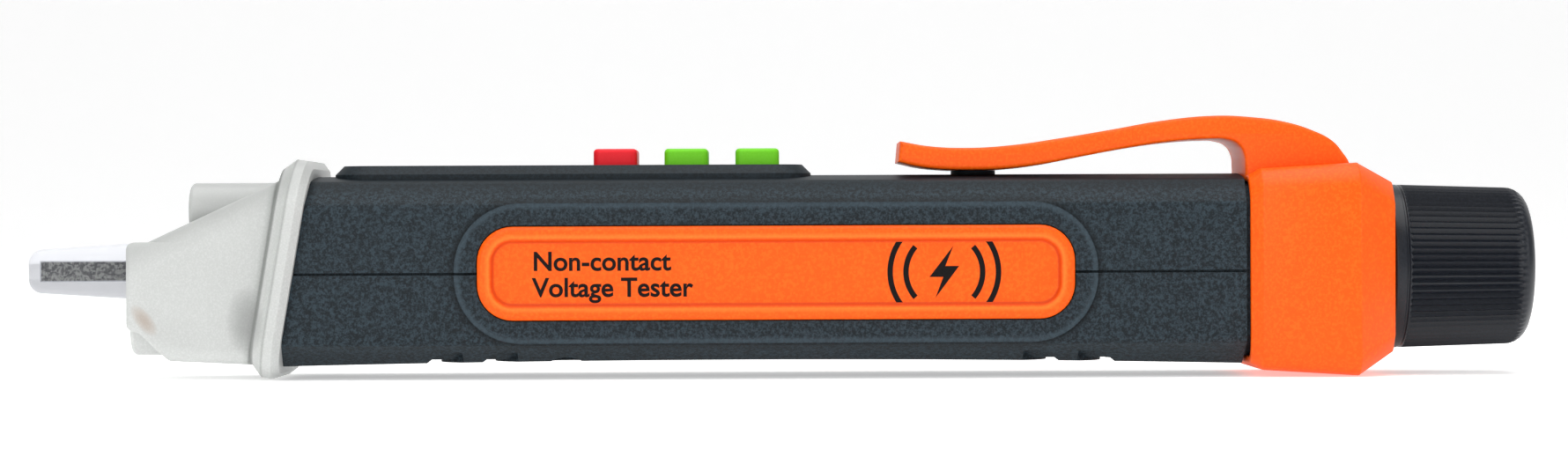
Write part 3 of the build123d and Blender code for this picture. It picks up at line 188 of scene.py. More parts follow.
# ================================================================== shader helpers
class Val:
    """A socket of a material's node tree that takes part in Python arithmetic."""

    def __init__(self, finish, socket):
        self.finish = finish
        self.socket = socket

    def _math(self, operation, first, second):
        return self.finish.node("ShaderNodeMath", {"operation": operation}, {0: first, 1: second})

    def __add__(self, other):
        return self._math("ADD", self, other)

    __radd__ = __add__

    def __sub__(self, other):
        return self._math("SUBTRACT", self, other)

    def __rsub__(self, other):
        return self._math("SUBTRACT", other, self)

    def __mul__(self, other):
        return self._math("MULTIPLY", self, other)

    __rmul__ = __mul__

    def __lt__(self, other):
        return self._math("LESS_THAN", self, other)

    def size(self):
        """The value without its sign."""
        return self._math("ABSOLUTE", self, None)

    def at_least(self, other):
        """The value, or the other where that is more."""
        return self._math("MAXIMUM", self, other)

    def root(self):
        """The value's square root."""
        return self._math("SQRT", self, None)


class Finish:
    """One material: its Principled shader, and the nodes that drive it."""

    def __init__(self, name):
        self.material = bpy.data.materials.new(name)
        self.material.use_nodes = True
        self.tree = self.material.node_tree
        self.shader = self.tree.nodes["Principled BSDF"]
        self.place = None

    def node(self, kind, settings=None, inputs=None, output=0):
        """Adds a node, sets its settings, then fills or links its inputs; returns one output."""
        made = self.tree.nodes.new(kind)
        for key, value in (settings or {}).items():
            if key == "stops":
                ramp = made.color_ramp
                while len(ramp.elements) < len(value):
                    ramp.elements.new(0.5)
                for element, (position, colour) in zip(ramp.elements, value):
                    element.position = position
                    element.color = (*colour, 1.0) if len(colour) == 3 else colour
            else:
                setattr(made, key, value)
        for key, value in (inputs or {}).items():
            if isinstance(value, Val):
                self.tree.links.new(value.socket, made.inputs[key])
            elif value is not None:
                made.inputs[key].default_value = value
        return Val(self, made.outputs[output])

    def coordinates(self):
        """The piece's own coordinates in metres."""
        if self.place is None:
            self.place = self.node("ShaderNodeTexCoord", output="Object")
        return self.place

    def noise(self, size, detail=2.0, roughness=0.5):
        """Noise whose blobs are about size across, in metres, as a value from 0 to 1."""
        inputs = {"Vector": self.coordinates(), "Scale": 1 / size, "Detail": detail, "Roughness": roughness}
        return self.node("ShaderNodeTexNoise", {"noise_dimensions": "3D"}, inputs)

    def axis(self, index):
        """One of the piece's own coordinates, in millimetres."""
        return self.node("ShaderNodeSeparateXYZ", {}, {0: self.coordinates()}, index) * (1 / MM)

    def rounded(self, x, z, half_x, half_z, corner):
        """The distance past a rounded rectangle's edge, seen along Y, in millimetres."""
        over_x = (x.size() - (half_x - corner)).at_least(0.0)
        over_z = (z.size() - (half_z - corner)).at_least(0.0)
        return (over_x * over_x + over_z * over_z).root() - corner

    def ramp(self, value, stops):
        """A colour or grey ramp over a value."""
        return self.node("ShaderNodeValToRGB", {"stops": stops}, {"Fac": value})

    def mix(self, amount, first, second, blend="MIX"):
        """A colour between two colours, or what a blend makes of them."""
        made = self.node("ShaderNodeMix", {"data_type": "RGBA", "blend_type": blend}, {0: amount}, output=2)
        node = made.socket.node
        for index, colour in ((6, first), (7, second)):
            if isinstance(colour, Val):
                self.tree.links.new(colour.socket, node.inputs[index])
            else:
                node.inputs[index].default_value = (*colour, 1.0) if len(colour) == 3 else colour
        return made

    def bump(self, height, strength, distance):
        """A normal from a height, in metres."""
        return self.node("ShaderNodeBump", {}, {"Height": height, "Strength": strength, "Distance": distance})

    def set(self, **values):
        """Sets or links the shader's sockets; a word like Base_Color names the socket Base Color."""
        for word, value in values.items():
            socket = self.shader.inputs[word.replace("_", " ")]
            if isinstance(value, Val):
                self.tree.links.new(value.socket, socket)
            elif socket.type == "RGBA":
                socket.default_value = (*value, 1.0)
            else:
                socket.default_value = value
        return self.material


def moulded(name, colour, roughness, grain, depth, fleck=0.0, light=None, **extra):
    """Spark-textured moulded plastic: grain is the texture's size and depth its height, in metres."""
    finish = Finish(name)
    coarse = finish.noise(grain, 3.0, 0.6)
    fine = finish.noise(grain * 0.45, 2.0, 0.5)
    texture = coarse * 0.6 + fine * 0.4
    cloud = finish.noise(grain * 45, 2.0)
    paler = light or tuple(min(1.0, c * 1.6 + 0.01) for c in colour)
    speck = finish.ramp(texture, [(0.42, BLACK), (0.62, WHITE)])
    tone = finish.mix(speck * fleck, colour, paler)
    shade = finish.mix(cloud * 0.10, tone, darker(colour, 0.72))
    return finish.set(
        Base_Color=shade,
        Roughness=texture * 0.22 + (roughness - 0.11),
        Normal=finish.bump(texture, 1.0, depth),
        **extra,
    )


# ================================================================== modelling helpers
def clear():
    """Leaves edit mode and deselects everything."""
    if bpy.context.object and bpy.context.object.mode != "OBJECT":
        bpy.ops.object.mode_set(mode="OBJECT")
    bpy.ops.object.select_all(action="DESELECT")


def only(piece):
    """Makes one object the selected and active one."""
    clear()
    piece.select_set(True)
    bpy.context.view_layer.objects.active = piece


def edit(piece):
    """Opens one object in edit mode, in vertex, edge and face selection."""
    only(piece)
    bpy.ops.object.mode_set(mode="EDIT")
    bpy.ops.mesh.select_mode(type="VERT")


def pick(piece, kind, test):
    """Selects the vertices, edges or faces that pass a test and nothing else; returns how many."""
    mesh = bmesh.from_edit_mesh(piece.data)
    bpy.ops.mesh.select_mode(type={"verts": "VERT", "edges": "EDGE", "faces": "FACE"}[kind])
    bpy.ops.mesh.select_all(action="DESELECT")
    chosen = [item for item in getattr(mesh, kind) if test(item)]
    for item in chosen:
        item.select_set(True)
    mesh.select_flush_mode()
    bmesh.update_edit_mesh(piece.data)
    return len(chosen)


def middle(item):
    """The middle of an edge or a face."""
    if hasattr(item, "calc_center_median"):
        return item.calc_center_median()
    return (item.verts[0].co + item.verts[1].co) / 2


def run(edge, axis):
    """How far an edge runs along an axis."""
    return abs(edge.verts[0].co[axis] - edge.verts[1].co[axis])


def extrude(*way):
    """Extrudes what is selected by a distance along X, Y and Z."""
    bpy.ops.mesh.extrude_region_move(TRANSFORM_OT_translate={"value": way})


def narrow(share, x=0.0):
    """Scales what is selected about the tool's axis, seen along X."""
    bpy.ops.transform.resize(value=(1, share, share), center_override=(x, 0, AXIS_Z))


def close(piece):
    """Turns every face outwards and leaves edit mode."""
    bpy.ops.mesh.select_all(action="SELECT")
    bpy.ops.mesh.normals_make_consistent(inside=False)
    bpy.ops.object.mode_set(mode="OBJECT")
    return piece


def added(name):
    """Names the primitive that was just added, puts its place in its mesh and returns it."""
    piece = bpy.context.object
    piece.name = name
    piece.data.name = name
    bpy.ops.object.transform_apply(location=True, rotation=True, scale=True)
    return piece


def slab(name, low, high):
    """A box between two corners, as the start of a piece."""
    clear()
    centre = [(a + b) / 2 for a, b in zip(low, high)]
    bpy.ops.mesh.primitive_cube_add(size=1, location=centre)
    bpy.context.object.scale = [b - a for a, b in zip(low, high)]
    return added(name)


def turned(name, profile, sides):
    """A round piece about the tool's axis: profile is (x, radius) from one end to the other."""
    clear()
    x, radius = profile[0]
    bpy.ops.mesh.primitive_circle_add(
        vertices=sides, radius=radius, fill_type="NGON", location=(x, 0, AXIS_Z), rotation=(0, pi / 2, 0)
    )
    piece = added(name)
    edit(piece)
    bpy.ops.mesh.select_all(action="SELECT")
    for x_next, next_radius in profile[1:]:
        extrude(x_next - x, 0, 0)
        narrow(next_radius / radius, x_next)
        x, radius = x_next, next_radius
    return close(piece)


def modifier(piece, kind, **settings):
    """Adds a modifier, sets it and applies it."""
    only(piece)
    made = piece.modifiers.new(kind.title(), kind)
    for key, value in settings.items():
        setattr(made, key, value)
    bpy.ops.object.modifier_apply(modifier=made.name)


def smooth(piece, degrees=35):
    """Smooth shading, broken at edges sharper than an angle."""
    only(piece)
    bpy.ops.object.shade_smooth_by_angle(angle=radians(degrees))


def finish_piece(piece, material, slot, body, *nodes):
    """Gives a piece its material and its body, and hides the CAD nodes it stands for; the slot is not used."""
    piece.data.materials.clear()
    piece.data.materials.append(material)
    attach(piece, body)
    if nodes:
        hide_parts(*nodes)


def paint(node, material):
    """Gives a CAD node its material."""
    thing = NODES[node]
    if not thing.material_slots:
        thing.data.materials.append(material)
    for part in thing.material_slots:
        part.link = "OBJECT"
        part.material = material


def outline_solid(name, points, half_width, edge, corners=(), resolution=10):
    """A flat outline in X and Z, given width along Y, with rounded edges; corners are sharp points."""
    clear()
    bpy.ops.curve.primitive_bezier_circle_add(radius=MM, location=(0, 0, 0))
    thing = bpy.context.object
    curve = thing.data
    curve.splines.clear()
    spline = curve.splines.new("BEZIER")
    spline.bezier_points.add(len(points) - 1)
    for index, (point, (x, z)) in enumerate(zip(spline.bezier_points, points)):
        point.co = (x, z, 0)
        kind = "VECTOR" if index in corners else "AUTO"
        point.handle_left_type = kind
        point.handle_right_type = kind
    spline.use_cyclic_u = True
    curve.dimensions = "2D"
    curve.fill_mode = "BOTH"
    curve.resolution_u = resolution
    curve.extrude = half_width - edge
    curve.bevel_depth = edge
    curve.bevel_resolution = 3
    curve.offset = -edge
    thing.rotation_euler = (pi / 2, 0, 0)
    bpy.ops.object.convert(target="MESH")
    piece = added(name)
    edit(piece)
    bpy.ops.mesh.select_all(action="SELECT")
    bpy.ops.mesh.remove_doubles(threshold=0.01 * MM)
    return close(piece)


def printed_ring(name, centre, flat, radius, width, cut):
    """A thin printed ring round a point, flat across axis 1 or 2, less the part that passes the cut."""
    clear()
    turn = (pi / 2, 0, 0) if flat == 1 else (0, 0, 0)
    bpy.ops.mesh.primitive_circle_add(vertices=RING_SIDES, radius=radius, location=centre, rotation=turn)
    ring = added(name)
    edit(ring)
    pick(ring, "verts", lambda v: cut(v.co - Vector(centre)))
    bpy.ops.mesh.delete(type="VERT")
    bpy.ops.mesh.select_all(action="SELECT")
    extrude(0, 0, 0)
    grow = 1 + width / radius
    spread = (grow, 1, grow) if flat == 1 else (grow, grow, 1)
    bpy.ops.transform.resize(value=spread, center_override=centre)
    close(ring)
    modifier(ring, "SOLIDIFY", thickness=RING_THICKNESS, offset=0.0)
    return ring


# ================================================================== settings
class TesterSizes(bpy.types.PropertyGroup):
    """Sizes of the details that the frame doesn't hold."""

    cap_ribs: IntProperty(name="Cap ribs", description="Ridges around the battery cap", default=72, min=12)
    rib_depth: FloatProperty(
        name="Rib depth",
        description="Depth between two ridges",
        default=0.34 * MM,
        unit="LENGTH",
        precision=5,
    )
    clip_edge: FloatProperty(
        name="Clip edge",
        description="Rounding of the clip's edges",
        default=0.45 * MM,
        unit="LENGTH",
        precision=5,
    )
    print_height: FloatProperty(
        name="Print height",
        description="Height of the capitals on the panels",
        default=1.9 * MM,
        unit="LENGTH",
        precision=5,
    )
    camera_distance: FloatProperty(
        name="Camera distance", description="From the camera to the middle", default=0.4, unit="LENGTH"
    )
    panel_text: StringProperty(
        name="Panel text", description="Plain words on the side panels", default="Non-contact\nVoltage Tester"
    )


class TesterColours(bpy.types.PropertyGroup):
    """Colours of the finishes."""

    shell: FloatVectorProperty(
        name="Shell", description="Body shells", subtype="COLOR", default=(0.006, 0.010, 0.013), min=0, max=1
    )
    orange: FloatVectorProperty(
        name="Orange", description="Collar, clip and panels", subtype="COLOR", default=(0.90, 0.098, 0.0005)
    )
    frosted: FloatVectorProperty(
        name="Frosted", description="Nose cone", subtype="COLOR", default=(0.60, 0.615, 0.60), min=0, max=1
    )
    cap: FloatVectorProperty(
        name="Cap", description="Battery cap", subtype="COLOR", default=(0.004, 0.006, 0.010), min=0, max=1
    )
    red: FloatVectorProperty(
        name="Red", description="Power button", subtype="COLOR", default=(0.80, 0.004, 0.015), min=0, max=1
    )
    green: FloatVectorProperty(
        name="Green", description="Other buttons", subtype="COLOR", default=(0.15, 0.60, 0.004), min=0, max=1
    )


def sizes():
    """The sizes that a user can change."""
    return bpy.context.scene.tester_sizes


def colours():
    """The colours that a user can change."""
    return bpy.context.scene.tester_colours


MADE = {}


def finish_of(name):
    """Each finish is made once, when the first piece asks for it."""
    if name not in MADE:
        MADE[name] = FINISHES[name](name)
    return MADE[name]


def shell_plastic(name):
    """Dark slate plastic, spark-textured on its sides, with a painted highlight on the raised edge round the
    panels and painted shade just outside it.
    """
    finish = Finish(name)
    x, z = finish.axis(0), finish.axis(2)
    coarse = finish.noise(0.38 * MM, 3.0, 0.6)
    fine = finish.noise(0.17 * MM, 2.0, 0.5)
    texture = coarse * 0.6 + fine * 0.4
    textured = finish.ramp((z - AXIS_Z / MM) * 0.05, [(0.38, WHITE), (0.43, grey(0.35))])
    speck = finish.ramp(texture, [(0.43, BLACK), (0.60, WHITE)])
    tone = tuple(colours().shell)
    body = finish.mix(speck * textured * 0.85, tone, tuple(c * 4.6 + 0.003 for c in tone))
    # painted highlight and painted shade round the raised edge of the panels: a lighter band just inside the edge,
    # a darker band just outside it
    edge = finish.rounded(x - PANEL_X / MM, z - PANEL_Z / MM, *PLATEAU_EDGE) * 0.2 + 0.5
    painted_edge_highlight = finish.ramp(edge, [(0.36, BLACK), (0.44, WHITE), (0.49, grey(0.8)), (0.51, BLACK)])
    shaded = finish.ramp(edge, [(0.49, BLACK), (0.52, WHITE), (0.66, BLACK)])
    # mixes in the painted highlight, then the painted shade
    body = finish.mix(painted_edge_highlight * 0.55, body, tuple(c * 6.0 + 0.01 for c in tone))
    body = finish.mix(shaded * 0.6, body, darker(tone, 0.35))
    return finish.set(
        Base_Color=body,
        Roughness=texture * 0.2 + 0.45,
        Normal=finish.bump(texture * textured, 1.0, 0.06 * MM),
        Specular_IOR_Level=0.2,
    )


def orange_plastic(name):
    """Satin orange plastic with pale flecks, with a painted highlight along the top of each panel rim and painted
    shade along its inner step.
    """
    finish = Finish(name)
    tone = tuple(colours().orange)
    texture = finish.noise(0.30 * MM, 3.0, 0.6)
    cloud = finish.noise(9.0 * MM, 2.0)
    speck = finish.ramp(texture, [(0.46, BLACK), (0.64, WHITE)])
    body = finish.mix(speck * 0.4, tone, (1.0, 0.20, 0.012))
    body = finish.mix(cloud * 0.25, body, (tone[0] * 0.93, tone[1] * 0.80, tone[2]))
    x, z = finish.axis(0) - PANEL_X / MM, finish.axis(2) - PANEL_Z / MM
    edge = finish.rounded(x, z, *RIM_EDGE)
    inside = edge < 0.1
    edge = edge * 0.2 + 0.9
    # painted shade along the rim's inner step (step) and a painted highlight on its crest (crest), both only
    # inside the rim's outline
    step = finish.ramp(edge, [(0.54, BLACK), (0.57, WHITE), (0.60, WHITE), (0.65, BLACK)])
    crest = finish.ramp(edge, [(0.63, BLACK), (0.68, WHITE), (0.76, BLACK)])
    body = finish.mix(step * inside * 0.75, body, (tone[0] * 0.62, tone[1] * 0.42, tone[2]))
    body = finish.mix(crest * inside * 0.55, body, (1.0, 0.24, 0.03))
    return finish.set(
        Base_Color=body,
        Roughness=texture * 0.2 + 0.34,
        Normal=finish.bump(texture, 1.0, 0.014 * MM),
        Specular_IOR_Level=0.22,
        Subsurface_Weight=0.12,
        Subsurface_Radius=(1.0, 0.35, 0.1),
        Subsurface_Scale=0.8 * MM,
    )


def cap_plastic(name):
    """Blue-black satin plastic, flecked all over with a paler, worn tone."""
    worn = (0.012, 0.015, 0.023)
    return moulded(
        name, tuple(colours().cap), 0.36, 0.24 * MM, 0.02 * MM, 0.6, worn, Specular_IOR_Level=0.35
    )


def frosted_plastic(name):
    """Frosted translucent plastic: cloudy, with what lies behind it showing, painted shade bands across the
    flange, a painted shade band along its top edge, a painted shadow low on the stub and a coppery painted
    reflection there.
    """
    finish = Finish(name)
    grain = finish.noise(0.20 * MM, 3.0, 0.6)
    cloud = finish.noise(4.0 * MM, 2.0)
    tone = tuple(colours().frosted)
    x, z = finish.axis(0) - FLANGE_X / MM, finish.axis(2) - AXIS_Z / MM
    lean = x * cos(FLANGE_LEAN) - z * sin(FLANGE_LEAN)
    # painted shade: darker bands across the flange, leaning with it, where its grooves would be
    lines = finish.ramp(
        lean * 0.2 + 1.0,
        [
            (0.20, WHITE), (0.30, (0.84, 0.85, 0.84)), (0.345, (0.40, 0.41, 0.40)),
            (0.43, (0.44, 0.45, 0.44)), (0.47, WHITE), (0.62, (0.94, 0.95, 0.94)),
            (0.66, (0.62, 0.63, 0.62)), (0.70, WHITE), (0.95, WHITE),
        ],
    )
    body = finish.mix(cloud * 0.55, tone, darker(tone, 0.86))
    sparkle = finish.ramp(grain, [(0.45, BLACK), (0.65, grey(0.4))])
    body = finish.mix(sparkle, body, (0.74, 0.75, 0.74))
    # painted shade: a darker band above a slanted line along the nose's top edge
    painted_slope_shade = finish.ramp((z - x * 0.444 - 9.97) * 0.1 + 0.5, [(0.24, BLACK), (0.46, WHITE)])
    body = finish.mix(painted_slope_shade * 0.7, body, darker(tone, 0.74))
    # multiplies in the painted groove shade
    body = finish.mix(1.0, body, lines, "MULTIPLY")
    # painted shadow: a dark patch low in the stub, darkest at its middle, its strength varied by the cloud
    stub_shadow_x, stub_shadow_z = (x + 5.0) * 0.42, (z + 5.0) * 0.26
    painted_stub_shadow = finish.ramp(stub_shadow_x * stub_shadow_x + stub_shadow_z * stub_shadow_z, [(0.0, grey(0.55)), (0.9, BLACK)])
    body = finish.mix(painted_stub_shadow * (cloud * 0.8 + 0.5), body, darker(tone, 0.315))
    # painted reflection: a coppery patch low on the stub, mixed into the colour
    reflection_x, reflection_z = (x + z * 0.6 + 18.9) * 0.9, (z + 5.0) * 0.6
    painted_copper_reflection = finish.ramp(reflection_x * reflection_x + reflection_z * reflection_z, [(0.0, grey(0.6)), (1.0, BLACK)])
    return finish.set(
        Base_Color=finish.mix(painted_copper_reflection, body, (0.40, 0.29, 0.22)),
        Roughness=grain * 0.2 + 0.28,
        Normal=finish.bump(grain, 0.8, 0.015 * MM),
        Subsurface_Weight=0.35,
        Subsurface_Radius=WHITE,
        Subsurface_Scale=1.6 * MM,
        Alpha=0.86,
        IOR=1.49,
    )


def clear_plastic(name):
    """Clear moulded plastic with a faint bluish haze."""
    finish = Finish(name)
    haze = finish.noise(1.5 * MM, 2.0)
    return finish.set(
        Base_Color=finish.mix(haze, (0.66, 0.67, 0.70), (0.60, 0.61, 0.64)),
        Roughness=haze * 0.04 + 0.01,
        Transmission_Weight=0.92,
        IOR=1.18,
    )


def grainy_foil(name):
    """Grey grainy metal foil."""
    finish = Finish(name)
    grain = finish.noise(0.36 * MM, 3.0, 0.75)
    speck = finish.ramp(grain, [(0.46, (0.010, 0.010, 0.008)), (0.55, (0.46, 0.46, 0.40))])
    return finish.set(
        Base_Color=speck,
        Roughness=grain * 0.3 + 0.45,
        Specular_IOR_Level=0.2,
        Normal=finish.bump(grain, 1.0, 0.03 * MM),
    )


def rubbery(colour_name, light):
    """A satin silicone button finish in one of the set colours."""

    def make(name):
        return moulded(
            name, tuple(getattr(colours(), colour_name)), 0.46, 0.16 * MM, 0.006 * MM, 0.25, light,
            Specular_IOR_Level=0.3,
            Subsurface_Weight=0.15,
            Subsurface_Radius=grey(0.6),
            Subsurface_Scale=0.6 * MM,
        )

    return make


def window_gloss(name):
    """Dark glossy window with a barely lighter display field under it."""
    finish = Finish(name)
    dust = finish.noise(0.5 * MM, 3.0)
    return finish.set(
        Base_Color=finish.mix(dust * 0.4, (0.008, 0.009, 0.011), (0.02, 0.022, 0.024)),
        Roughness=dust * 0.06 + 0.06,
        Coat_Weight=0.5,
    )


def plain(colour, roughness, metallic=0.0, grain=0.3, **extra):
    """A simple inner finish with fine grain in its tone, roughness and surface."""

    def make(name):
        finish = Finish(name)
        speck = finish.noise(grain * MM, 2.0)
        return finish.set(
            Base_Color=finish.mix(speck * 0.5, colour, tuple(min(1.0, c * 1.35 + 0.01) for c in colour)),
            Roughness=speck * 0.15 + (roughness - 0.07),
            Metallic=metallic,
            Normal=finish.bump(speck, 0.5, 0.008 * MM),
            **extra,
        )

    return make


FINISHES = {
    "body_plastic": shell_plastic,
    "orange_plastic": orange_plastic,
    "cap_plastic": cap_plastic,
    "frosted_plastic": frosted_plastic,
    "clear_plastic": clear_plastic,
    "sensor_foil": grainy_foil,
    "red_rubber": rubbery("red", (0.9, 0.02, 0.03)),
    "green_rubber": rubbery("green", (0.25, 0.70, 0.05)),
    "window_gloss": window_gloss,
    "print_ink": plain((0.004, 0.003, 0.003), 0.6, grain=0.2, Specular_IOR_Level=0.1),
    "icon_ink": plain((0.80, 0.82, 0.80), 0.5, grain=0.2),
    "bare_wire": plain((0.72, 0.36, 0.18), 0.3, 1.0, 0.2),
    "red_lens": plain((0.80, 0.10, 0.06), 0.12, Transmission_Weight=0.5),
    "clear_lens": plain((0.90, 0.90, 0.82), 0.10, Transmission_Weight=0.6),
    "tinned_metal": plain((0.66, 0.66, 0.64), 0.25, 1.0, 0.2),
    "circuit_board": plain((0.012, 0.13, 0.05), 0.35, grain=0.6),
    "chip_black": plain((0.014, 0.014, 0.015), 0.5),
    "component_ceramic": plain((0.42, 0.33, 0.22), 0.4),
    "inner_plastic": plain((0.040, 0.042, 0.046), 0.5),
    "display_glass": plain((0.16, 0.20, 0.15), 0.08, grain=0.8),
    "elastomer": plain((0.025, 0.025, 0.025), 0.6),
    "cell_jacket": plain((0.06, 0.07, 0.09), 0.3, grain=1.2),
    "nickel": plain((0.60, 0.58, 0.54), 0.25, 1.0, 0.2),
    "spring_steel": plain((0.50, 0.50, 0.50), 0.3, 1.0, 0.2),
    "screw_steel": plain((0.30, 0.30, 0.31), 0.35, 1.0, 0.2),
}


# ================================================================== operators
class TESTER_OT_finishes(bpy.types.Operator):
    """Gives every carried-over node the finish of its slot"""

    bl_idname = "tester.finishes"
    bl_label = "Finishes"

    def execute(self, context):
        slots = {s["node"]: s["material_slot"] for s in frame["record"]["subparts"]}
        for node in NODES:
            paint(node, finish_of(slots[node]))
        return {"FINISHED"}


class TESTER_OT_battery_cap(bpy.types.Operator):
    """Models the screw cap with its smooth skirt, groove and ridges"""

    bl_idname = "tester.battery_cap"
    bl_label = "Battery cap"

    def execute(self, context):
        ribs = sizes().cap_ribs
        start, end = CAP_LOW[0], CAP_HIGH[0]
        rib_start, rib_end = start + RIB_SETBACK, end - CAP_ROUND
        length = rib_end - rib_start
        profile = [(start + along * MM, CAP_RADIUS - inward * MM) for along, inward in SKIRT]
        spans = [rib_start + length * step / RIB_SPANS for step in range(1, RIB_SPANS + 1)]
        for x in (rib_start, rib_start + RIB_LEAD, *spans):
            profile.append((x, CAP_RADIUS - RIB_INSET - RIB_TAPER * (x - rib_start) / length))
        edge_radius = profile[-1][1]
        for step in range(1, CAP_ROUND_STEPS + 1):
            angle = step * pi / 2 / CAP_ROUND_STEPS
            profile.append((rib_end + CAP_ROUND * sin(angle), edge_radius - CAP_ROUND * (1 - cos(angle))))
        last = profile[-1][1]
        profile += [(end, last * 0.97), (end - HAIR, last * 0.5)]
        piece = turned("battery_cap_ribbed", profile, ribs * POINTS_PER_RIB)
        edit(piece)

        def in_rib_zone(vert):
            return rib_start - HAIR < vert.co.x < rib_end + RIB_FADE

        def phase(vert):
            angle = atan2(vert.co.z - AXIS_Z, vert.co.y)
            return round(angle / (2 * pi) * ribs * POINTS_PER_RIB) % POINTS_PER_RIB

        for wanted, share in (((0,), 1.0), ((1, 3), RIB_SIDE_SHARE)):
            pick(piece, "verts", lambda v: in_rib_zone(v) and phase(v) in wanted)
            narrow(1 - sizes().rib_depth * share / CAP_RADIUS)
        bpy.ops.object.mode_set(mode="OBJECT")
        smooth(piece, 50)
        finish_piece(piece, finish_of("cap_plastic"), "cap_plastic", "cap", "battery_cap")
        return {"FINISHED"}


class TESTER_OT_tail_collar(bpy.types.Operator):
    """Models the flared collar, rounded on its corners and drawn in to a ring round the cap"""

    bl_idname = "tester.tail_collar"
    bl_label = "Tail collar"

    def execute(self, context):
        front, back = COLLAR_LOW[0], COLLAR_HIGH[0]
        edge = front + COLLAR_FLAT
        half = COLLAR_HIGH[1]
        bottom, top = COLLAR_LOW[2], AXIS_Z + COLLAR_TOP
        piece = slab("tail_collar_moulded", (front + COLLAR_LIP, -half, bottom), (edge, half, top))
        edit(piece)
        pick(piece, "faces", lambda f: f.normal.x < -0.9)
        narrow((half - COLLAR_FLARE) / half)
        pick(piece, "edges", lambda e: run(e, 0) > MM and middle(e).z > AXIS_Z)
        bpy.ops.mesh.bevel(offset=COLLAR_TOP_ROUND, segments=8, profile=0.42)
        pick(piece, "edges", lambda e: run(e, 0) > MM and abs(middle(e).z - bottom) < 1.2 * MM)
        bpy.ops.mesh.bevel(offset=COLLAR_BOTTOM_ROUND, segments=8, profile=0.5)
        pick(piece, "faces", lambda f: f.normal.x > 0.9)
        extrude(COLLAR_EDGE, 0, 0)
        narrow(0.988)
        extrude(back - edge - COLLAR_EDGE, 0, 0)
        bpy.ops.transform.tosphere(value=1.0)
        ring_to_radius(piece, CAP_RADIUS + COLLAR_EDGE)
        bore = CAP_RADIUS - COLLAR_BORE_INSET
        extrude(0, 0, 0)
        ring_to_radius(piece, bore)
        pick(piece, "faces", lambda f: f.normal.x < -0.9)
        for along, share in COLLAR_LIP_STEPS:
            extrude(along, 0, 0)
            narrow(share)
        extrude(COLLAR_BORE_LENGTH, 0, 0)
        extrude(0, 0, 0)
        bpy.ops.transform.tosphere(value=1.0)
        ring_to_radius(piece, bore)
        pick(piece, "faces", lambda f: len(f.verts) > 12)
        bpy.ops.mesh.bridge_edge_loops()
        close(piece)
        modifier(piece, "BEVEL", width=0.16 * MM, segments=2, limit_method="ANGLE", angle_limit=radians(24))
        smooth(piece, 30)
        finish_piece(piece, finish_of("orange_plastic"), "orange_plastic", "housing", "tail_collar")
        return {"FINISHED"}


def ring_to_radius(piece, radius):
    """Scales the selected ring about the axis until it has a radius, centred on the axis."""
    mesh = bmesh.from_edit_mesh(piece.data)
    heights = [v.co.z for v in mesh.verts if v.select]
    low, high = min(heights), max(heights)
    bpy.ops.transform.translate(value=(0, 0, AXIS_Z - (low + high) / 2))
    narrow(radius / ((high - low) / 2))


class TESTER_OT_pocket_clip(bpy.types.Operator):
    """Models the springy clip and its root on the collar as one moulding"""

    bl_idname = "tester.pocket_clip"
    bl_label = "Pocket clip"

    def execute(self, context):
        outline = [(HINGE[0] + x * MM, HINGE[2] + z * MM) for x, z in CLIP_UNDER + CLIP_ROOT + CLIP_OVER]
        corners = (0, len(CLIP_UNDER) - 1, len(CLIP_UNDER), len(outline) - 1)
        half = (CLIP_HIGH[1] - CLIP_LOW[1]) / 2
        piece = outline_solid("clip_moulded", outline, half, sizes().clip_edge, corners, 8)
        smooth(piece, 35)
        piece.data.materials.append(finish_of("orange_plastic"))
        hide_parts("pocket_clip")
        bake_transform(piece)
        return {"FINISHED"}


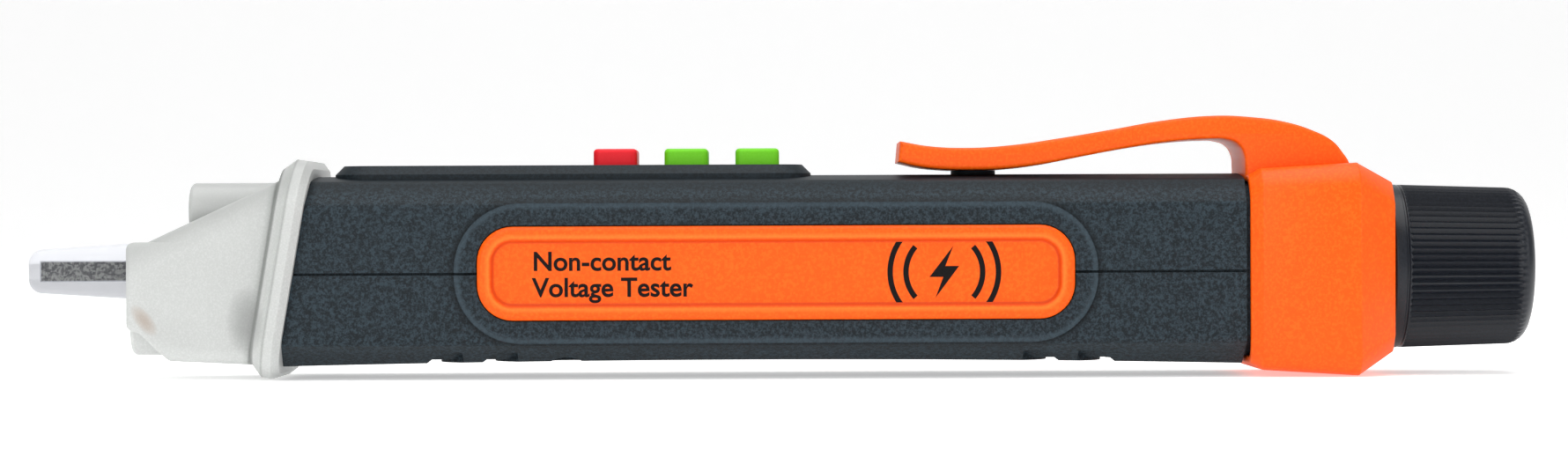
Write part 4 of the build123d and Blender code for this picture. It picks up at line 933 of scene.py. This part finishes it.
class TESTER_OT_side_panels(bpy.types.Operator):
    """Models the orange panels with a rounded rim, a sunk field and plain generic print"""

    bl_idname = "tester.side_panels"
    bl_label = "Side panels"

    def execute(self, context):
        for side, node in ((-1, "right_panel"), (1, "left_panel")):
            low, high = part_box(node)
            piece = slab(node + "_moulded", low, high)
            edit(piece)
            pick(piece, "edges", lambda e: run(e, 1) > 0.5 * MM)
            bpy.ops.mesh.bevel(offset=PANEL_CORNER, segments=10)
            pick(piece, "faces", lambda f: f.normal.y * side > 0.9)
            bpy.ops.mesh.inset(thickness=PANEL_BORDER, depth=0.0)
            bpy.ops.transform.translate(value=(0, side * PANEL_SWELL, 0))
            for inset, rise in PANEL_INSETS:
                bpy.ops.mesh.inset(thickness=inset, depth=rise)
            bpy.ops.object.mode_set(mode="OBJECT")
            modifier(
                piece, "BEVEL", width=0.13 * MM, segments=3, limit_method="ANGLE", angle_limit=radians(20)
            )
            smooth(piece, 40)
            finish_piece(piece, finish_of("orange_plastic"), "orange_plastic", "housing", node)
            face_y = (high if side > 0 else low)[1] - side * PRINT_DEPTH
            centre = ((low[0] + high[0]) / 2, face_y, (low[2] + high[2]) / 2)
            self.words(node, side, *centre)
            self.emblem(node, side, *centre)
        return {"FINISHED"}

    def words(self, node, side, x, y, z):
        """Two lines of plain words, as a thin layer of ink."""
        clear()
        bpy.ops.object.text_add(location=(0, 0, 0))
        thing = bpy.context.object
        thing.data.body = sizes().panel_text
        thing.data.size = sizes().print_height * TEXT_SCALE
        thing.data.space_line = TEXT_LINE_SPACE
        thing.data.offset = TEXT_BOLD
        thing.data.extrude = TEXT_INK
        thing.data.align_y = "CENTER"
        thing.rotation_euler = (pi / 2, 0, 0 if side < 0 else pi)
        thing.location = (x + side * TEXT_X, y, z - TEXT_DROP)
        bpy.ops.object.convert(target="MESH")
        self.ink(added(node + "_words"))

    def emblem(self, node, side, x, y, z):
        """A lightning bolt between two pairs of arcs, as a thin layer of ink."""
        points = [(x - side * (EMBLEM_X + px) * MM, z + pz * MM) for px, pz in BOLT]
        piece = outline_solid(node + "_bolt", points, INK, 0.0, corners=range(len(points)), resolution=1)
        only(piece)
        bpy.ops.transform.translate(value=(0, y, 0))
        bpy.ops.object.transform_apply(location=True, rotation=True, scale=True)
        self.ink(piece)
        centre = (x - side * EMBLEM_X * MM, y, z)
        for index, reach in enumerate(ARC_RADII):
            for way, end in ((1, "a"), (-1, "b")):
                name = f"{node}_arc_{index}_{end}"
                cut = reach * ARC_SHARE
                self.ink(printed_ring(name, centre, 1, reach, ARC_WIDTH, lambda d: d.x * way < cut))

    def ink(self, piece):
        """Gives a printed piece its ink and the housing as its body."""
        finish_piece(piece, finish_of("print_ink"), "orange_plastic", "housing")


class TESTER_OT_button_marks(bpy.types.Operator):
    """Prints a plain mark on each button: a power sign, a lamp with rays and three rising bars"""

    bl_idname = "tester.button_marks"
    bl_label = "Button marks"

    def execute(self, context):
        for kind in ("power", "torch", "range"):
            low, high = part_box(kind + "_button")
            self.centre = ((low[0] + high[0]) / 2, 0, high[2])
            self.kind = kind
            getattr(self, kind)()
        return {"FINISHED"}

    def place(self, piece):
        """Gives a mark its ink and its button's body."""
        slot = "red_rubber" if self.kind == "power" else "green_rubber"
        finish_piece(piece, finish_of("icon_ink"), slot, self.kind + "_key")

    def ring(self, name, reach, width, cut):
        """A thin ring round the middle of the button's top, less what passes the cut."""
        self.place(printed_ring(f"{self.kind}_{name}", self.centre, 2, reach, width, cut))

    def bar(self, name, x0, x1, y0, y1):
        """A thin bar between two places in millimetres from the middle of the button's top."""
        x, y, z = self.centre
        low = (x + x0 * MM, y + y0 * MM, z - INK)
        self.place(slab(f"{self.kind}_{name}", low, (x + x1 * MM, y + y1 * MM, z + INK)))

    def power(self):
        self.ring("ring", 1.1 * MM, 0.3 * MM, lambda d: d.y > 0 and abs(d.x) < 0.55 * MM)
        self.bar("stroke", -0.15, 0.15, 0.2, 1.6)

    def torch(self):
        self.ring("lamp", 0.6 * MM, 0.25 * MM, lambda d: False)
        self.bar("ray_up", -0.13, 0.13, 1.15, 1.75)
        self.bar("ray_down", -0.13, 0.13, -1.75, -1.15)
        self.bar("ray_left", -1.6, -1.1, -0.13, 0.13)
        self.bar("ray_right", 1.1, 1.6, -0.13, 0.13)

    def range(self):
        for index, reach in enumerate((0.5, 1.0, 1.5)):
            self.bar(f"step_{index}", index * 0.8 - 1.0, index * 0.8 - 0.6, -reach, reach)


class TESTER_OT_stage(bpy.types.Operator):
    """Sets the pale floor, the soft studio lamps and the camera"""

    bl_idname = "tester.stage"
    bl_label = "Stage"

    def execute(self, context):
        self.floor()
        self.lamps(context)
        self.camera(context)
        return {"FINISHED"}

    def floor(self):
        """A pale floor that curves up behind the tool."""
        clear()
        bpy.ops.mesh.primitive_plane_add(size=1, location=FLOOR_MIDDLE)
        bpy.context.object.scale = (*FLOOR_SIZE, 1)
        floor = added("pale_floor")
        edit(floor)
        pick(floor, "edges", lambda e: middle(e).y > FLOOR_SIZE[1] / 2)
        before = 0.0
        for step in range(1, FLOOR_CURVE_STEPS + 1):
            angle = step * pi / 2 / FLOOR_CURVE_STEPS
            extrude(0, FLOOR_CURVE * (sin(angle) - sin(before)), FLOOR_CURVE * (cos(before) - cos(angle)))
            before = angle
        extrude(0, 0, WALL_HEIGHT)
        bpy.ops.object.mode_set(mode="OBJECT")
        smooth(floor, 60)
        finish = Finish("pale_paper")
        tone = finish.noise(0.02, 2.0)
        floor.data.materials.append(
            finish.set(
                Base_Color=finish.mix(tone * 0.3, grey(0.93), grey(0.90)),
                Roughness=0.85,
                Specular_IOR_Level=0.1,
                Emission_Color=WHITE,
                Emission_Strength=FLOOR_GLOW,
            )
        )

    def lamps(self, context):
        """Wide soft lamps, and an even surround that is seen white and lights softly."""
        world = bpy.data.worlds.new("soft_surround")
        context.scene.world = world
        world.use_nodes = True
        tree = world.node_tree
        surround = tree.nodes["Background"]
        surround.inputs["Color"].default_value = (*WHITE, 1)
        path = tree.nodes.new("ShaderNodeLightPath")
        seen = tree.nodes.new("ShaderNodeMapRange")
        seen.inputs["To Min"].default_value = SURROUND_LIGHT
        seen.inputs["To Max"].default_value = SURROUND_SEEN
        tree.links.new(path.outputs["Is Camera Ray"], seen.inputs["Value"])
        tree.links.new(seen.outputs["Result"], surround.inputs["Strength"])
        for name, place, aim, size, power in LAMPS:
            lamp = bpy.data.lights.new(name, "AREA")
            lamp.size = size
            lamp.energy = power
            thing = bpy.data.objects.new(name, lamp)
            thing.location = place
            thing.rotation_euler = (Vector(aim) - Vector(place)).to_track_quat("-Z", "Y").to_euler()
            context.scene.collection.objects.link(thing)

    def camera(self, context):
        """A long lens level with the tool's axis, turned a touch so the tool rises to the right."""
        camera = bpy.data.cameras.new("camera")
        camera.sensor_width = SENSOR_WIDTH
        camera.lens = LENS
        thing = bpy.data.objects.new("camera", camera)
        thing.location = (TIP_X + VIEW_X, -sizes().camera_distance, AXIS_Z + VIEW_Z)
        thing.rotation_euler = (pi / 2, VIEW_ROLL, 0)
        context.scene.collection.objects.link(thing)
        context.scene.camera = thing
        context.scene.view_settings.view_transform = "Standard"


class TESTER_PT_panel(bpy.types.Panel):
    """Lists the steps and their settings"""

    bl_idname = "TESTER_PT_panel"
    bl_label = "Voltage Tester"
    bl_space_type = "VIEW_3D"
    bl_region_type = "UI"
    bl_category = "Tester"

    def draw(self, context):
        for group in (context.scene.tester_sizes, context.scene.tester_colours):
            for key in group.__annotations__:
                self.layout.prop(group, key)
        for step in STEPS:
            self.layout.operator(step.bl_idname)


STEPS = (
    TESTER_OT_finishes,
    TESTER_OT_battery_cap,
    TESTER_OT_tail_collar,
    TESTER_OT_pocket_clip,
    TESTER_OT_side_panels,
    TESTER_OT_button_marks,
    TESTER_OT_stage,
)
CLASSES = (TesterSizes, TesterColours, *STEPS, TESTER_PT_panel)


def register():
    for cls in CLASSES:
        bpy.utils.register_class(cls)
    bpy.types.Scene.tester_sizes = PointerProperty(type=TesterSizes)
    bpy.types.Scene.tester_colours = PointerProperty(type=TesterColours)


def unregister():
    del bpy.types.Scene.tester_sizes
    del bpy.types.Scene.tester_colours
    for cls in reversed(CLASSES):
        bpy.utils.unregister_class(cls)


def main():
    register()
    for step in STEPS:
        group, name = step.bl_idname.split(".")
        getattr(getattr(bpy.ops, group), name)()
    clear()


if __name__ == "__main__":
    main()
